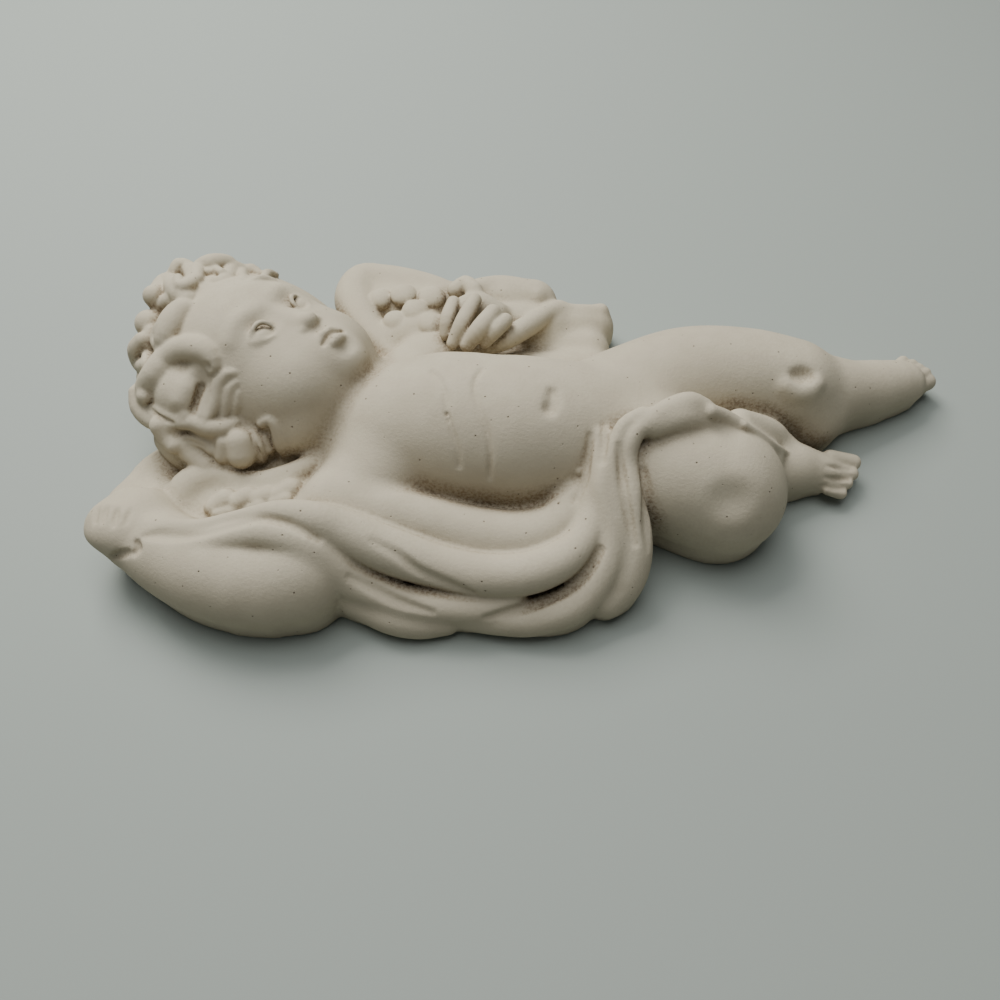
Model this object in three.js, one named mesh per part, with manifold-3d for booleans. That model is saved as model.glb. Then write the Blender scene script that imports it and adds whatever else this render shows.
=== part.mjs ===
// Cherub wall plaque: a winged child lying back on a cloth, cast in one piece of plaster.
// Millimetres. The flat back lies on z = 0, +Z comes out of the wall, +X runs along the body from the
// head to the feet and +Y is up the wall. The origin is on the back, under the middle of the body.
import * as THREE from 'three';
import Module from 'manifold-3d';
import { mergeVertices } from 'three/addons/utils/BufferGeometryUtils.js';

// Driving dimensions of the cast
const LENGTH = 266; // from the near hand to the far toes
const PROUD = 50; // from the flat back to the top of the curls
const HEAD_RADIUS = 29; // half the width of the skull
const NECK_RADIUS = 16;
const TORSO_RADIUS = 23;
const UPPER_ARM_RADIUS = 13;
const FOREARM_RADIUS = 13;
const FINGER_RADIUS = 2.4;
const THIGH_RADIUS = 17;
const SHIN_RADIUS = 12;
const TOE_RADIUS = 2.2;
const WING_RIM_RADIUS = 7;
const FEATHER_RADIUS = 3.4;
const CURL_RADIUS = 6;
const LOCK_RADIUS = 3.6;
const FOLD_RADIUS = 4.8; // a rolled fold of the cloth
const CLOTH_RADIUS = 13; // the heap of cloth under the body
const CREASE_RADIUS = 1.1;
const SIDE_HEIGHT = 8; // below this the sides run straight down to the back
const DRAFT = 0.15; // how far the sides lean in for each millimetre down

// Fineness of the faceted surface
const CELL = 1.45; // spacing of the grid that the forms are blended on
const FACETS = 9300; // triangles kept before the back is cut flat
const HEAD_DETAIL = 5; // how much more the face and curls count when triangles are dropped
const HAND_DETAIL = 4;
const STEP_ALONG = 2.5; // spacing of the balls that make up a rolled form

const PLASTER = { color: 0xe6dfcf, roughness: 0.88, metalness: 0 };

// Places are shares of the cast: 266 shares make its length and 50 its depth out of the wall
const ALONG = LENGTH / 266;
const OUT = PROUD / 50;
const place = (x, y, z) => new THREE.Vector3(x * ALONG, y * ALONG, z * OUT);

// The head has its own frame: the child's right, the way the face looks, and the crown
const HEAD_CENTRE = place(-71.5, 20.5, 21.5);
const LOOK = new THREE.Vector3(0.287, 0.089, 0.954).normalize();
const CROWN = new THREE.Vector3(-0.865, 0.453, 0.218).projectOnPlane(LOOK).normalize();
const RIGHT = new THREE.Vector3().crossVectors(LOOK, CROWN);
const HEAD_SHARE = HEAD_RADIUS / 29;
const onHead = (right, forward, up) => HEAD_CENTRE.clone()
  .addScaledVector(RIGHT, right * HEAD_SHARE)
  .addScaledVector(LOOK, forward * HEAD_SHARE)
  .addScaledVector(CROWN, up * HEAD_SHARE);

// A block of clay: a grid of distances, negative inside the figure
class Clay {
  constructor(box, cell) {
    this.low = box.min;
    this.cell = cell;
    const size = box.getSize(new THREE.Vector3()).divideScalar(cell).ceil().addScalar(1);
    this.count = size.toArray();
    this.stride = [size.y * size.z, size.z, 1];
    this.value = new Float32Array(size.x * size.y * size.z).fill(FAR);
  }

  // Joins a form to the figure, or presses it in, with a fillet of the given softness
  work(form, softness, pressed) {
    const reach = softness + 2.5 * this.cell;
    const box = form.box.clone().expandByScalar(reach);
    const first = box.min.clone().sub(this.low).divideScalar(this.cell).floor().toArray();
    const last = box.max.clone().sub(this.low).divideScalar(this.cell).ceil().toArray();
    const [i0, j0, k0] = first.map((v) => Math.max(v, 0));
    const [i1, j1, k1] = last.map((v, axis) => Math.min(v, this.count[axis] - 1));
    for (let i = i0; i <= i1; i += 1) {
      for (let j = j0; j <= j1; j += 1) {
        for (let k = k0; k <= k1; k += 1) {
          const at = i * this.stride[0] + j * this.stride[1] + k;
          const x = this.low.x + i * this.cell;
          const y = this.low.y + j * this.cell;
          const z = this.low.z + k * this.cell;
          const distance = form.distance(x, y, z);
          const old = this.value[at];
          const other = pressed ? -distance : distance;
          const overlap = Math.max(softness - Math.abs(old - other), 0) / softness;
          const fillet = overlap * overlap * softness / 4;
          this.value[at] = pressed ? Math.max(old, other) + fillet : Math.min(old, other) - fillet;
        }
      }
    }
  }

  add(form, softness) {
    this.work(form, softness, false);
  }

  press(form, softness) {
    this.work(form, softness, true);
  }
}

const FAR = 12; // distance held where no form has reached yet
const TINY = 1e-9; // keeps a division from being by nothing
const JUST_INSIDE = -0.05; // share of a cell given to a point that is filled in
const WORLD = [new THREE.Vector3(1, 0, 0), new THREE.Vector3(0, 1, 0), new THREE.Vector3(0, 0, 1)];
const HEAD = [RIGHT, LOOK, CROWN];

// A ball with a radius along each of three axes
function ball(centre, radii, axes = WORLD) {
  const half = new THREE.Vector3();
  axes.forEach((axis, n) => {
    half.x += (axis.x * radii[n]) ** 2;
    half.y += (axis.y * radii[n]) ** 2;
    half.z += (axis.z * radii[n]) ** 2;
  });
  half.set(Math.sqrt(half.x), Math.sqrt(half.y), Math.sqrt(half.z));
  const box = new THREE.Box3(centre.clone().sub(half), centre.clone().add(half));
  const distance = (x, y, z) => {
    let near = 0;
    let steep = TINY;
    for (let n = 0; n < 3; n += 1) {
      const axis = axes[n];
      const along = axis.x * (x - centre.x) + axis.y * (y - centre.y) + axis.z * (z - centre.z);
      near += (along / radii[n]) ** 2;
      steep += (along / radii[n] ** 2) ** 2;
    }
    near = Math.sqrt(near);
    return near * (near - 1) / Math.sqrt(steep);
  };
  return { box, distance };
}

// A rolled form along a smooth curve through its stations, each [place, radius]
function roll(stations) {
  const route = new THREE.CatmullRomCurve3(stations.map(([point]) => point), false, 'catmullrom', 0.5);
  const girths = stations.map(([, radius]) => new THREE.Vector3(radius, 0, 0));
  const girth = new THREE.CatmullRomCurve3(girths, false, 'catmullrom', 0.5);
  const spans = stations.length - 1;
  const steps = Math.max(2 * spans, Math.ceil(route.getLength() / STEP_ALONG));
  const points = [];
  const box = new THREE.Box3();
  for (let n = 0; n <= steps; n += 1) {
    const point = route.getPoint(n / steps);
    const radius = girth.getPoint(n / steps).x;
    points.push([point.x, point.y, point.z, radius]);
    box.expandByPoint(point.clone().addScalar(radius));
    box.expandByPoint(point.clone().subScalar(radius));
  }
  const distance = (x, y, z) => {
    let best = Infinity;
    for (let n = 0; n < steps; n += 1) {
      const [ax, ay, az, ar] = points[n];
      const [bx, by, bz, br] = points[n + 1];
      const ux = bx - ax;
      const uy = by - ay;
      const uz = bz - az;
      const px = x - ax;
      const py = y - ay;
      const pz = z - az;
      const share = (px * ux + py * uy + pz * uz) / (ux * ux + uy * uy + uz * uz);
      const t = Math.min(Math.max(share, 0), 1);
      const gap = Math.hypot(px - t * ux, py - t * uy, pz - t * uz) - ar - t * (br - ar);
      best = Math.min(best, gap);
    }
    return best;
  };
  return { box, distance };
}

// Stations [x, y, z, share of the radius] in shares of the cast
const limb = (radius, ...stations) => roll(stations.map(([x, y, z, r]) => [place(x, y, z), r * radius]));

// Stations [right, forward, up, share of the radius] in the head's own frame
const feature = (radius, ...stations) => roll(
  stations.map(([right, forward, up, r]) => [onHead(right, forward, up), r * radius]),
);

const lump = (centre, radius, squash = 1) => ball(place(...centre), [radius, radius, radius * squash]);
const headBall = (centre, radii) => ball(onHead(...centre), radii.map((r) => r * HEAD_SHARE), HEAD);

function shapeTorso(clay) {
  clay.add(limb(TORSO_RADIUS, [-42, -2, 11, 0.74], [-32, 0, 15.5, 0.93], [-22, 1, 18, 1],
    [-14, 0, 19, 1]), 4);
  clay.add(limb(TORSO_RADIUS, [-14, 0, 19, 0.99], [-5, -1, 19.5, 1.02], [4, -1.5, 19.5, 1.04],
    [20, 0, 17.5, 0.98], [36, 2, 15, 0.85]), 4);
  clay.add(limb(UPPER_ARM_RADIUS, [-40, -17, 15, 1.08], [-46, -24, 14, 1.04], [-52, -34, 13.5, 1],
    [-58, -46, 12.5, 1.08]), 6);
  clay.add(limb(UPPER_ARM_RADIUS, [-38, 15, 14, 0.92], [-26, 32, 12.5, 0.85], [-14, 37, 13.5, 0.69]), 6);
  clay.add(limb(UPPER_ARM_RADIUS, [-56, 40, 4, 0.62], [-44, 32, 6, 0.77], [-26, 34, 6, 0.77],
    [-8, 32, 6, 0.81], [12, 32, 6, 0.81], [27, 36, 5, 0.73]), 3);
  clay.add(limb(UPPER_ARM_RADIUS, [-14, 43, 5, 0.69], [6, 45, 5, 0.69], [27, 46.5, 5, 0.65]), 3);
  clay.add(limb(UPPER_ARM_RADIUS, [54, 4, 6, 0.92], [70, 5, 5, 0.77], [80, 6.5, 4, 0.54]), 3);
}

function pressBelly(clay) {
  clay.press(limb(CREASE_RADIUS, [-18.5, -2.5, 42.5, 0.36], [-17.5, -7, 41.5, 0.64],
    [-16.5, -11.5, 40, 0.73], [-15.5, -15.5, 37.5, 0.73], [-14.5, -18.5, 34.5, 0.64],
    [-14, -21.5, 30.5, 0.27]), 2);
  clay.press(limb(CREASE_RADIUS, [12.5, -4.5, 42, 1], [12, -7, 41.5, 1.45], [11.5, -9, 41, 1.18]), 3);
}

function shapeLegs(clay) {
  clay.add(limb(THIGH_RADIUS, [34, 13, 15, 1.09], [56, 22, 16.5, 1.09], [76, 24.5, 17, 0.97],
    [90, 23, 17, 0.85]), 5);
  clay.add(limb(SHIN_RADIUS, [88, 23, 15, 1.17], [100, 24, 12, 1.08], [110, 25.5, 11, 0.88],
    [119, 28, 9.5, 0.75]), 4);
  clay.add(lump([97, 15, 7], SHIN_RADIUS * 0.79, 1.05), 6);
  clay.add(limb(SHIN_RADIUS, [118, 28, 9, 0.73], [126, 30.5, 8.5, 0.72], [132, 32.5, 7.5, 0.63]), 3);
  clay.press(limb(CREASE_RADIUS, [88, 15, 29.5, 1.27], [90, 15, 29.5, 2], [91.5, 15, 29, 1.36]), 3.5);
  clay.add(limb(SHIN_RADIUS, [85, 13, 27, 0.1], [88.5, 12, 25.5, 0.15], [92, 12.5, 25.5, 0.13],
    [94.5, 14, 27, 0.08]), 4);
  clay.add(limb(THIGH_RADIUS, [36, -6, 16, 1.06], [50, -14, 18, 1.12], [62, -17.5, 17.5, 1.09]), 5);
  clay.add(lump([64, -18, 13], THIGH_RADIUS * 1.04, 0.9), 6);
  clay.add(limb(SHIN_RADIUS, [72, -12, 10, 0.92], [80, -6.5, 9, 0.75], [88, -4, 8, 0.67]), 4);
  clay.add(limb(SHIN_RADIUS, [84.5, -4, 8, 0.68], [92, -3.5, 7, 0.61], [98, -4, 6, 0.53],
    [101, -4, 5, 0.45]), 3);
  clay.press(lump([62, -34, 32], SHIN_RADIUS * 0.29), 7);
}

function shapeToes(clay) {
  clay.add(limb(TOE_RADIUS, [101.5, 0, 8.6, 1.18], [109, -0.5, 7, 1.18]), 0.8);
  clay.add(limb(TOE_RADIUS, [101, -4, 8, 1], [108, -4.5, 6.4, 1]), 0.8);
  clay.add(limb(TOE_RADIUS, [100, -7.5, 7.2, 0.95], [106, -7.5, 5.6, 0.95]), 0.8);
  clay.add(limb(TOE_RADIUS, [99.5, -10, 6, 0.91], [104, -10.5, 4.4, 0.91]), 0.8);
  clay.add(limb(TOE_RADIUS, [129, 35.5, 12, 0.86], [134, 41, 9.5, 0.86]), 0.5);
  clay.add(limb(TOE_RADIUS, [130, 34, 12, 0.86], [137, 40, 9, 0.86]), 0.5);
  clay.add(limb(TOE_RADIUS, [131, 31.5, 12, 0.91], [139, 38.5, 8.5, 0.91]), 0.5);
  clay.add(limb(TOE_RADIUS, [132.5, 30, 11.5, 0.95], [141, 37, 8, 0.95]), 0.5);
  clay.add(limb(TOE_RADIUS, [132, 28.5, 9, 1.36], [141.5, 34.5, 6.5, 1.36]), 0.5);
}

function shapeHead(clay) {
  clay.add(limb(NECK_RADIUS, [-60, 8, 14, 1], [-48, 2, 11, 0.94]), 5);
  clay.add(headBall([1.5, -2.5, 8], [27.5, 26.5, 29]), 4);
  clay.add(headBall([1, 3, -7], [24, 22.5, 24]), 6);
  clay.add(headBall([1, 8, 11], [21.5, 15.5, 17]), 6);
  clay.add(headBall([11, 11, -12.5], [11.5, 12, 11.5]), 6);
  clay.add(headBall([-9.5, 10.5, -12.5], [10, 11.5, 11]), 6);
  clay.add(headBall([0, 11, -19], [9, 12, 7]), 6);
  clay.add(headBall([0, 19.5, -21.5], [5.6, 5.2, 4.4]), 4);
  clay.add(headBall([0, 18.5, -15], [8.5, 7, 6]), 5);
  clay.add(headBall([15, 2, -19], [10, 10, 7]), 4);
}

function shapeFace(clay) {
  for (const side of [1, -1]) {
    clay.press(headBall([9 * side, 26.8, 4.6], [5.6, 4, 3.8]), 4);
  }
  clay.add(feature(HEAD_SHARE, [0, 20.8, 5, 2.3], [0, 22.6, 0, 2.4], [0, 24.8, -5, 2.5]), 3);
  clay.add(headBall([0, 25.6, -6.8], [2.8, 2.8, 2.4]), 2);
  for (const side of [1, -1]) {
    clay.add(headBall([3 * side, 24, -7.4], [1.8, 2, 1.6]), 1.2);
    clay.add(headBall([9.6 * side, 19.5, 2], [4.5, 4.1, 3.5]), 0.5);
    const brow = [[4 * side, 22.4, 7.4, 1.4], [9.5 * side, 22.4, 9.2, 1.6], [15.5 * side, 18.6, 7.8, 1.5]];
    clay.add(feature(HEAD_SHARE, ...brow), 3);
  }
  clay.press(feature(HEAD_SHARE, [-4.4, 24, -15.6, 0.9], [0, 26.2, -14.1, 0.9], [4.4, 24, -15.6, 0.9]), 1);
  clay.add(feature(HEAD_SHARE, [-4, 23.8, -14.1, 0.8], [0, 25, -12.8, 1.1], [4, 23.8, -14.1, 0.8]), 1.1);
  clay.add(feature(HEAD_SHARE, [-3, 24.2, -16, 1.1], [0, 25.6, -16, 1.9], [3, 24.2, -16, 1.1]), 0.8);
}

const CURL_CENTRE = onHead(-2, -6, 10); // the curls stand out from this place in the head
const CURL_STATIONS = 6;
const CURL_WINDING = 5.8; // how far round a curl winds, in radians
const CURLS = 80;
const GOLDEN_ANGLE = Math.PI * (3 - Math.sqrt(5));

// A spiral lock lying on the head, wound by nearly one turn around its centre
function curl(centre, radius, startAngle, turn) {
  const outward = centre.clone().sub(CURL_CENTRE).normalize();
  const across = new THREE.Vector3().crossVectors(outward, CROWN).normalize();
  const along = new THREE.Vector3().crossVectors(outward, across);
  const stations = [];
  for (let n = 0; n < CURL_STATIONS; n += 1) {
    const t = n / (CURL_STATIONS - 1);
    const angle = startAngle + turn * CURL_WINDING * t;
    const swing = radius * (0.72 - 0.6 * t);
    const point = centre.clone()
      .addScaledVector(across, Math.cos(angle) * swing)
      .addScaledVector(along, Math.sin(angle) * swing)
      .addScaledVector(outward, radius * (0.3 * t - 0.1));
    stations.push([point, radius * (0.48 - 0.1 * t)]);
  }
  return roll(stations);
}

function shapeHair(clay) {
  clay.add(headBall([-3, -6, 12], [32, 25, 30]), 2);
  clay.add(feature(HEAD_SHARE, [24, 0, 21, 7], [28, -2, 8, 7], [27, -5, -6, 7]), 3);
  clay.add(feature(HEAD_SHARE, [-24, 2, 20, 7], [-27, 0, 6, 7], [-26, -4, -6, 7]), 3);
  clay.add(feature(HEAD_SHARE, [-14, 8, 27, 5.5], [0, 12, 30, 5], [14, 8, 29, 5.5]), 3);
  shapeCurls(clay);
  shapeLocks(clay);
}

// Curls spread evenly over the hair by the golden angle, clear of the face and the locks
function shapeCurls(clay) {
  for (let n = 0; n < CURLS; n += 1) {
    const height = 1 - (2 * n + 1) / CURLS;
    const ring = Math.sqrt(1 - height * height);
    const right = -3 + 33 * ring * Math.cos(n * GOLDEN_ANGLE);
    const forward = -6 + 26 * ring * Math.sin(n * GOLDEN_ANGLE);
    const up = 12 + 31 * height;
    const centre = onHead(right, forward, up);
    const overFace = forward > 0 && up < 30;
    const overLocks = right > 14 && up < 20;
    if (centre.z > 4 * OUT && up > -6 && !overFace && !overLocks) {
      clay.add(curl(centre, CURL_RADIUS, n * 1.3, n % 2 ? 1 : -1), 0.7);
    }
  }
}

function shapeLocks(clay) {
  clay.add(lump([-110, 27.5, 35], LOCK_RADIUS * 1.22), 0.8);
  clay.add(limb(LOCK_RADIUS, [-110.5, 20.5, 35, 0.72], [-113, 19.5, 32, 0.78], [-113.5, 19.5, 26, 0.78],
    [-107, 11, 34.5, 0.61], [-109.5, 18.5, 31.5, 0.5]), 0.6);
  clay.add(limb(LOCK_RADIUS, [-108.5, 37.5, 38.5, 0.89], [-104, 35.5, 42.5, 1], [-99.5, 33, 43, 1.06],
    [-96, 28.5, 44, 0.89]), 0.8);
  clay.add(limb(LOCK_RADIUS, [-108, 34.5, 40.5, 0.94], [-107, 34, 37.5, 0.89],
    [-102.5, 31, 41.5, 0.67]), 0.8);
  clay.add(limb(LOCK_RADIUS, [-101.5, 38.5, 46.5, 0.56], [-100, 39.5, 47.5, 0.67],
    [-101, 48, 39.5, 0.72], [-98.5, 43, 40, 0.72], [-96.5, 33, 45.5, 0.61], [-98.5, 32, 46.5, 0.5],
    [-100.5, 37, 45, 0.44]), 0.6);
  clay.add(limb(LOCK_RADIUS, [-95.5, 38, 43.5, 0.56], [-98, 47, 39, 0.78], [-94, 49, 40, 0.94],
    [-90.5, 52.5, 37, 0.89], [-89, 50, 36.5, 0.78], [-87, 39.5, 42, 0.67], [-90, 37.5, 43, 0.5]), 0.6);
  clay.add(limb(LOCK_RADIUS, [-94, 44.5, 40.5, 0.44], [-92, 46, 40, 0.5], [-88.5, 41.5, 43.5, 0.39]), 0.6);
  clay.add(limb(LOCK_RADIUS, [-80.5, 35.5, 45.5, 0.39], [-85.5, 51, 35, 0.56], [-83.5, 53.5, 34, 0.61],
    [-80.5, 51.5, 34, 0.44]), 0.6);
  clay.add(limb(LOCK_RADIUS, [-75, 37, 44.5, 0.28], [-78, 52, 34, 0.44], [-76.5, 56, 30, 0.28]), 0.6);
  clay.add(limb(LOCK_RADIUS, [-95, 24.5, 44.5, 0.72], [-97, 23.5, 43.5, 1.17], [-99, 19.5, 42.5, 1.28],
    [-100.5, 15.5, 41, 1], [-102.5, 14, 38, 0.61]), 0.9);
  clay.add(limb(LOCK_RADIUS, [-95.5, -5.5, 28.5, 0.5], [-103.5, 3, 20, 1], [-110, 14, 13.5, 1.39],
    [-101.5, 3.5, 34, 1.5], [-99.5, 7.5, 37, 1.39], [-94, 10.5, 40.5, 1.28], [-88.5, 9, 43, 1.06],
    [-84.5, 6.5, 42.5, 0.83], [-83.5, 4, 41, 0.56]), 0.9);
  clay.add(limb(LOCK_RADIUS, [-95, -6, 29.5, 0.39], [-92.5, -2.5, 31.5, 1.17], [-92.5, 1.5, 33, 1.22],
    [-90, 6, 37.5, 1], [-87.5, 6, 42.5, 0.67]), 1.2);
  clay.add(limb(LOCK_RADIUS, [-110.5, 4, 30, 0.61], [-114.5, 10.5, 16.5, 0.94], [-106.5, 2, 20.5, 1],
    [-97, -6, 28, 0.56]), 0.8);
  clay.press(limb(CREASE_RADIUS, [-104.5, -1.5, 35, 0.82], [-101, -2, 37, 1],
    [-99, -0.5, 39.5, 0.82]), 0.8);
  clay.press(limb(CREASE_RADIUS, [-88, 0.5, 36.5, 1.45], [-88, -2, 34.5, 2], [-89.5, -5.5, 33, 1.27]), 1);
  clay.add(limb(LOCK_RADIUS, [-78, 2.5, 40.5, 0.33], [-80.5, 3, 40.5, 0.56], [-82, 1.5, 38, 0.78],
    [-82, -1, 34, 0.89], [-84.5, -4, 31, 0.78], [-87, -7, 30.5, 0.44]), 0.7);
  clay.add(limb(LOCK_RADIUS, [-79, -0, 37.5, 0.33], [-79, -2.5, 34, 0.5], [-81, -5, 30.5, 0.33]), 0.6);
  clay.press(lump([-79, 4.5, 42.5], LOCK_RADIUS * 0.28), 0.5);
  clay.add(limb(LOCK_RADIUS, [-95, -6.5, 27.5, 0.5], [-90, -7.5, 26, 1], [-85, -8.5, 26.5, 1.11],
    [-80.5, -7.5, 27.5, 0.83], [-78, -5, 29, 0.39]), 0.8);
  clay.add(limb(LOCK_RADIUS, [-101.5, 2.5, 9, 0.78], [-98, -2.5, 10, 1.17], [-92, -8.5, 12.5, 0.89]), 0.6);
  clay.add(limb(LOCK_RADIUS, [-100, -5, 26.5, 0.94], [-105, 2, 9.5, 0.94]), 0.6);
  clay.add(limb(LOCK_RADIUS, [-84, -11.5, 28, 0.5], [-84.5, -10.5, 20.5, 0.67],
    [-86, -15.5, 20, 0.5]), 0.6);
  clay.add(limb(LOCK_RADIUS, [-80.5, -9.5, 28.5, 0.67], [-78.5, -10.5, 24, 1.33],
    [-77.5, -12, 21.5, 1]), 0.6);
  clay.add(limb(LOCK_RADIUS, [-73.5, -6.5, 26, 0.67], [-73, -8, 22.5, 0.89],
    [-72.5, -8.5, 16.5, 0.72]), 0.6);
  clay.add(limb(LOCK_RADIUS, [-71.5, -7, 27.5, 0.33], [-68.5, -6.5, 31.5, 0.5], [-67, -7.5, 29, 0.61],
    [-66.5, -9.5, 23.5, 0.72], [-66, -9.5, 18, 0.56]), 0.6);
}

function shapeFarWing(clay) {
  clay.add(limb(WING_RIM_RADIUS, [-39.5, 35.5, 16, 0.43], [-45, 43.5, 15, 0.71], [-50, 53, 14, 0.97],
    [-53, 63, 13.5, 1.06], [-51, 70.5, 13.5, 1], [-44.5, 71, 14, 0.89], [-36.5, 69, 15, 0.83],
    [-27.5, 66.5, 15, 0.77], [-20, 63.5, 15, 0.66]), 2);
  clay.add(limb(WING_RIM_RADIUS, [-45.5, 65, 8, 1.43], [-37, 61.5, 9, 1.57], [-27, 59, 10, 1.57]), 3);
  clay.add(limb(WING_RIM_RADIUS, [-36.5, 44, 12, 1.21], [-28, 45.5, 14, 1.21]), 3);
  clay.add(lump([-43.5, 58.5, 17.6], FEATHER_RADIUS * 1.13, 0.78), 0.4);
  clay.add(lump([-36, 58.5, 19.6], FEATHER_RADIUS * 1.23, 0.72), 0.4);
  clay.add(lump([-26, 57.5, 19.6], FEATHER_RADIUS * 1.26, 0.7), 0.4);
  clay.add(lump([-31, 50.5, 20.1], FEATHER_RADIUS * 1.23, 0.72), 0.4);
  clay.add(lump([-37.5, 47, 18.6], FEATHER_RADIUS * 1.13, 0.78), 0.4);
  clay.add(lump([-25.5, 44, 20.6], FEATHER_RADIUS * 1.2, 0.74), 0.4);
}

function shapeNearWing(clay) {
  clay.add(limb(WING_RIM_RADIUS, [-95, -26.5, 10, 0.71], [-95, -22.5, 13, 0.8], [-92.5, -18.5, 15, 0.8],
    [-86.5, -16.5, 16, 0.66], [-79.5, -17.5, 16.5, 0.51], [-72, -18.5, 17, 0.46], [-65.5, -17, 18, 0.46],
    [-59.5, -14.5, 18.5, 0.51], [-56, -9.5, 17, 0.57]), 1.6);
  clay.add(limb(WING_RIM_RADIUS, [-95, -21.5, 7, 1.14], [-82, -23.5, 10, 1.14], [-64, -21.5, 12, 1.21]), 3);
  clay.add(limb(WING_RIM_RADIUS, [-91, -8.5, 8, 0.86], [-80, -11, 9, 1], [-66.5, -8, 10, 1]), 3);
  clay.add(limb(WING_RIM_RADIUS, [-101.5, -3, 3, 1.29], [-107, -8.5, 3, 1.29], [-110.5, -13, 3, 1.14],
    [-115, -18, 3, 1]), 5);
  clay.add(limb(WING_RIM_RADIUS, [-104, -20, 4, 1.43], [-92, -32, 5, 1.57], [-74, -34, 5, 1.57],
    [-56, -30, 6, 1.43]), 4);
  clay.add(limb(FEATHER_RADIUS, [-84, -27.5, 15.5, 0.68], [-80.5, -25.5, 17, 0.78]), 0.4);
  clay.add(limb(FEATHER_RADIUS, [-77.5, -26, 17, 0.65], [-74.5, -24.5, 18, 0.74]), 0.4);
  clay.add(limb(FEATHER_RADIUS, [-71.5, -25.5, 18, 0.62], [-69, -24.5, 18.5, 0.71]), 0.4);
  clay.add(limb(FEATHER_RADIUS, [-65, -24.5, 19, 0.65], [-62, -22.5, 19, 0.74]), 0.4);
  clay.add(limb(FEATHER_RADIUS, [-83.5, -30, 15.5, 0.53], [-79, -29, 16, 0.61]), 0.4);
  clay.add(limb(FEATHER_RADIUS, [-75, -28, 16.5, 0.53], [-71.5, -27, 17.5, 0.61]), 0.4);
}

function shapeNearHand(clay) {
  clay.add(limb(FOREARM_RADIUS, [-59, -47, 12, 1.09], [-66, -49, 12, 1.05]), 3);
  clay.add(limb(FOREARM_RADIUS, [-73, -49, 12.5, 1.03], [-84, -46.5, 13, 0.98], [-94, -42, 13.5, 0.91],
    [-103, -36, 13.5, 0.83]), 2);
  clay.add(lump([-106, -32, 13], FOREARM_RADIUS * 0.87, 0.96), 4);
  clay.add(limb(FOREARM_RADIUS, [-104, -30, 17, 0.5], [-109, -29, 16.5, 0.46]), 3);
  clay.add(limb(FINGER_RADIUS, [-115.5, -33, 17.5, 1.42], [-113, -33.5, 19.5, 1.67],
    [-108.5, -34.5, 20.5, 1.75], [-105.5, -35.5, 20, 1.67]), 4);
  clay.add(limb(FINGER_RADIUS, [-115.5, -36.5, 16, 1.42], [-112, -38.5, 18.5, 1.75],
    [-107.5, -39.5, 19.5, 1.83]), 4);
  clay.press(limb(CREASE_RADIUS, [-114, -33, 24, 0.36], [-114, -35, 24, 0.73],
    [-113.5, -37.5, 23.5, 0.36]), 1);
  clay.press(limb(CREASE_RADIUS, [-111, -33.5, 25, 0.36], [-111, -36, 25, 0.73],
    [-111, -38, 24.5, 0.36]), 1);
  clay.press(limb(CREASE_RADIUS, [-107.5, -34.5, 25.5, 0.36], [-107.5, -37, 25.5, 0.82],
    [-107.5, -39.5, 25, 0.36]), 1);
  clay.press(limb(CREASE_RADIUS, [-111, -44, 15, 0.45], [-106.5, -45.5, 19.5, 1],
    [-103, -46, 21.5, 0.82]), 1);
  clay.press(limb(CREASE_RADIUS, [-100.5, -44, 23.5, 0.82], [-100, -45.5, 23, 1.09],
    [-101, -46.5, 22, 0.64]), 1);
}

function shapeFarHand(clay) {
  clay.add(limb(FINGER_RADIUS, [-18, 44.5, 20, 1.75], [-15, 47, 23, 2], [-10, 50, 23, 2],
    [-4.5, 48.5, 21, 1.92]), 3);
  clay.add(limb(FINGER_RADIUS, [-17.5, 57.5, 23, 1.25], [-14.5, 59.5, 24, 1.25],
    [-11.5, 55.5, 25, 1.25]), 2);
  clay.add(limb(FINGER_RADIUS, [-18, 47.5, 27, 0.92], [-19.5, 39, 28, 1.01], [-20, 35, 25, 0.83]), 0.5);
  clay.add(limb(FINGER_RADIUS, [-11, 45.5, 30, 1], [-14.5, 36, 29.5, 1.1], [-17.5, 31, 25, 0.9]), 0.5);
  clay.add(limb(FINGER_RADIUS, [-5, 40, 30, 1.13], [-9, 33, 29.75, 1.24], [-13, 30, 25.5, 1.01]), 0.5);
  clay.add(limb(FINGER_RADIUS, [-1, 38.5, 28, 1.04], [-4.5, 33.5, 28.5, 1.15], [-7.5, 32, 25, 0.94]), 0.5);
}

function shapeFarCloth(clay) {
  clay.add(limb(FOLD_RADIUS, [-14.5, 64.5, 12, 1.46], [-9, 63, 11, 1.88], [-1, 64, 11, 1.96],
    [8.5, 64, 11, 1.83]), 3);
  clay.add(limb(FOLD_RADIUS, [-15.5, 58, 20, 0.62], [-10.5, 64, 18, 0.71], [-3, 67, 17, 0.67],
    [4, 65.5, 17, 0.62], [9.5, 61.5, 17, 0.62]), 2);
  clay.add(limb(FOLD_RADIUS, [-9.5, 50, 12, 1.88], [1, 50.5, 13, 1.67], [13, 52.5, 10, 1.67]), 3);
  clay.add(limb(FOLD_RADIUS, [-6.5, 35, 20, 0.62], [-1, 36, 22, 0.71], [5.5, 42.5, 21, 0.75],
    [12.5, 52.5, 17, 0.71], [17.5, 59, 14, 0.62]), 1.2);
  clay.add(limb(FOLD_RADIUS, [15, 56, 8, 1.67], [23, 56, 7.5, 1.58], [30, 57, 7, 1.38]), 3);
  clay.add(limb(FOLD_RADIUS, [16.5, 57.5, 13, 0.62], [24.5, 59.5, 12.5, 0.5], [32.5, 60.5, 12, 0.42]), 2);
  clay.add(limb(FOLD_RADIUS, [32.5, 61, 11, 0.42], [33, 59, 8, 0.62], [32.5, 55, 4, 0.83]), 3);
}

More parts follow.
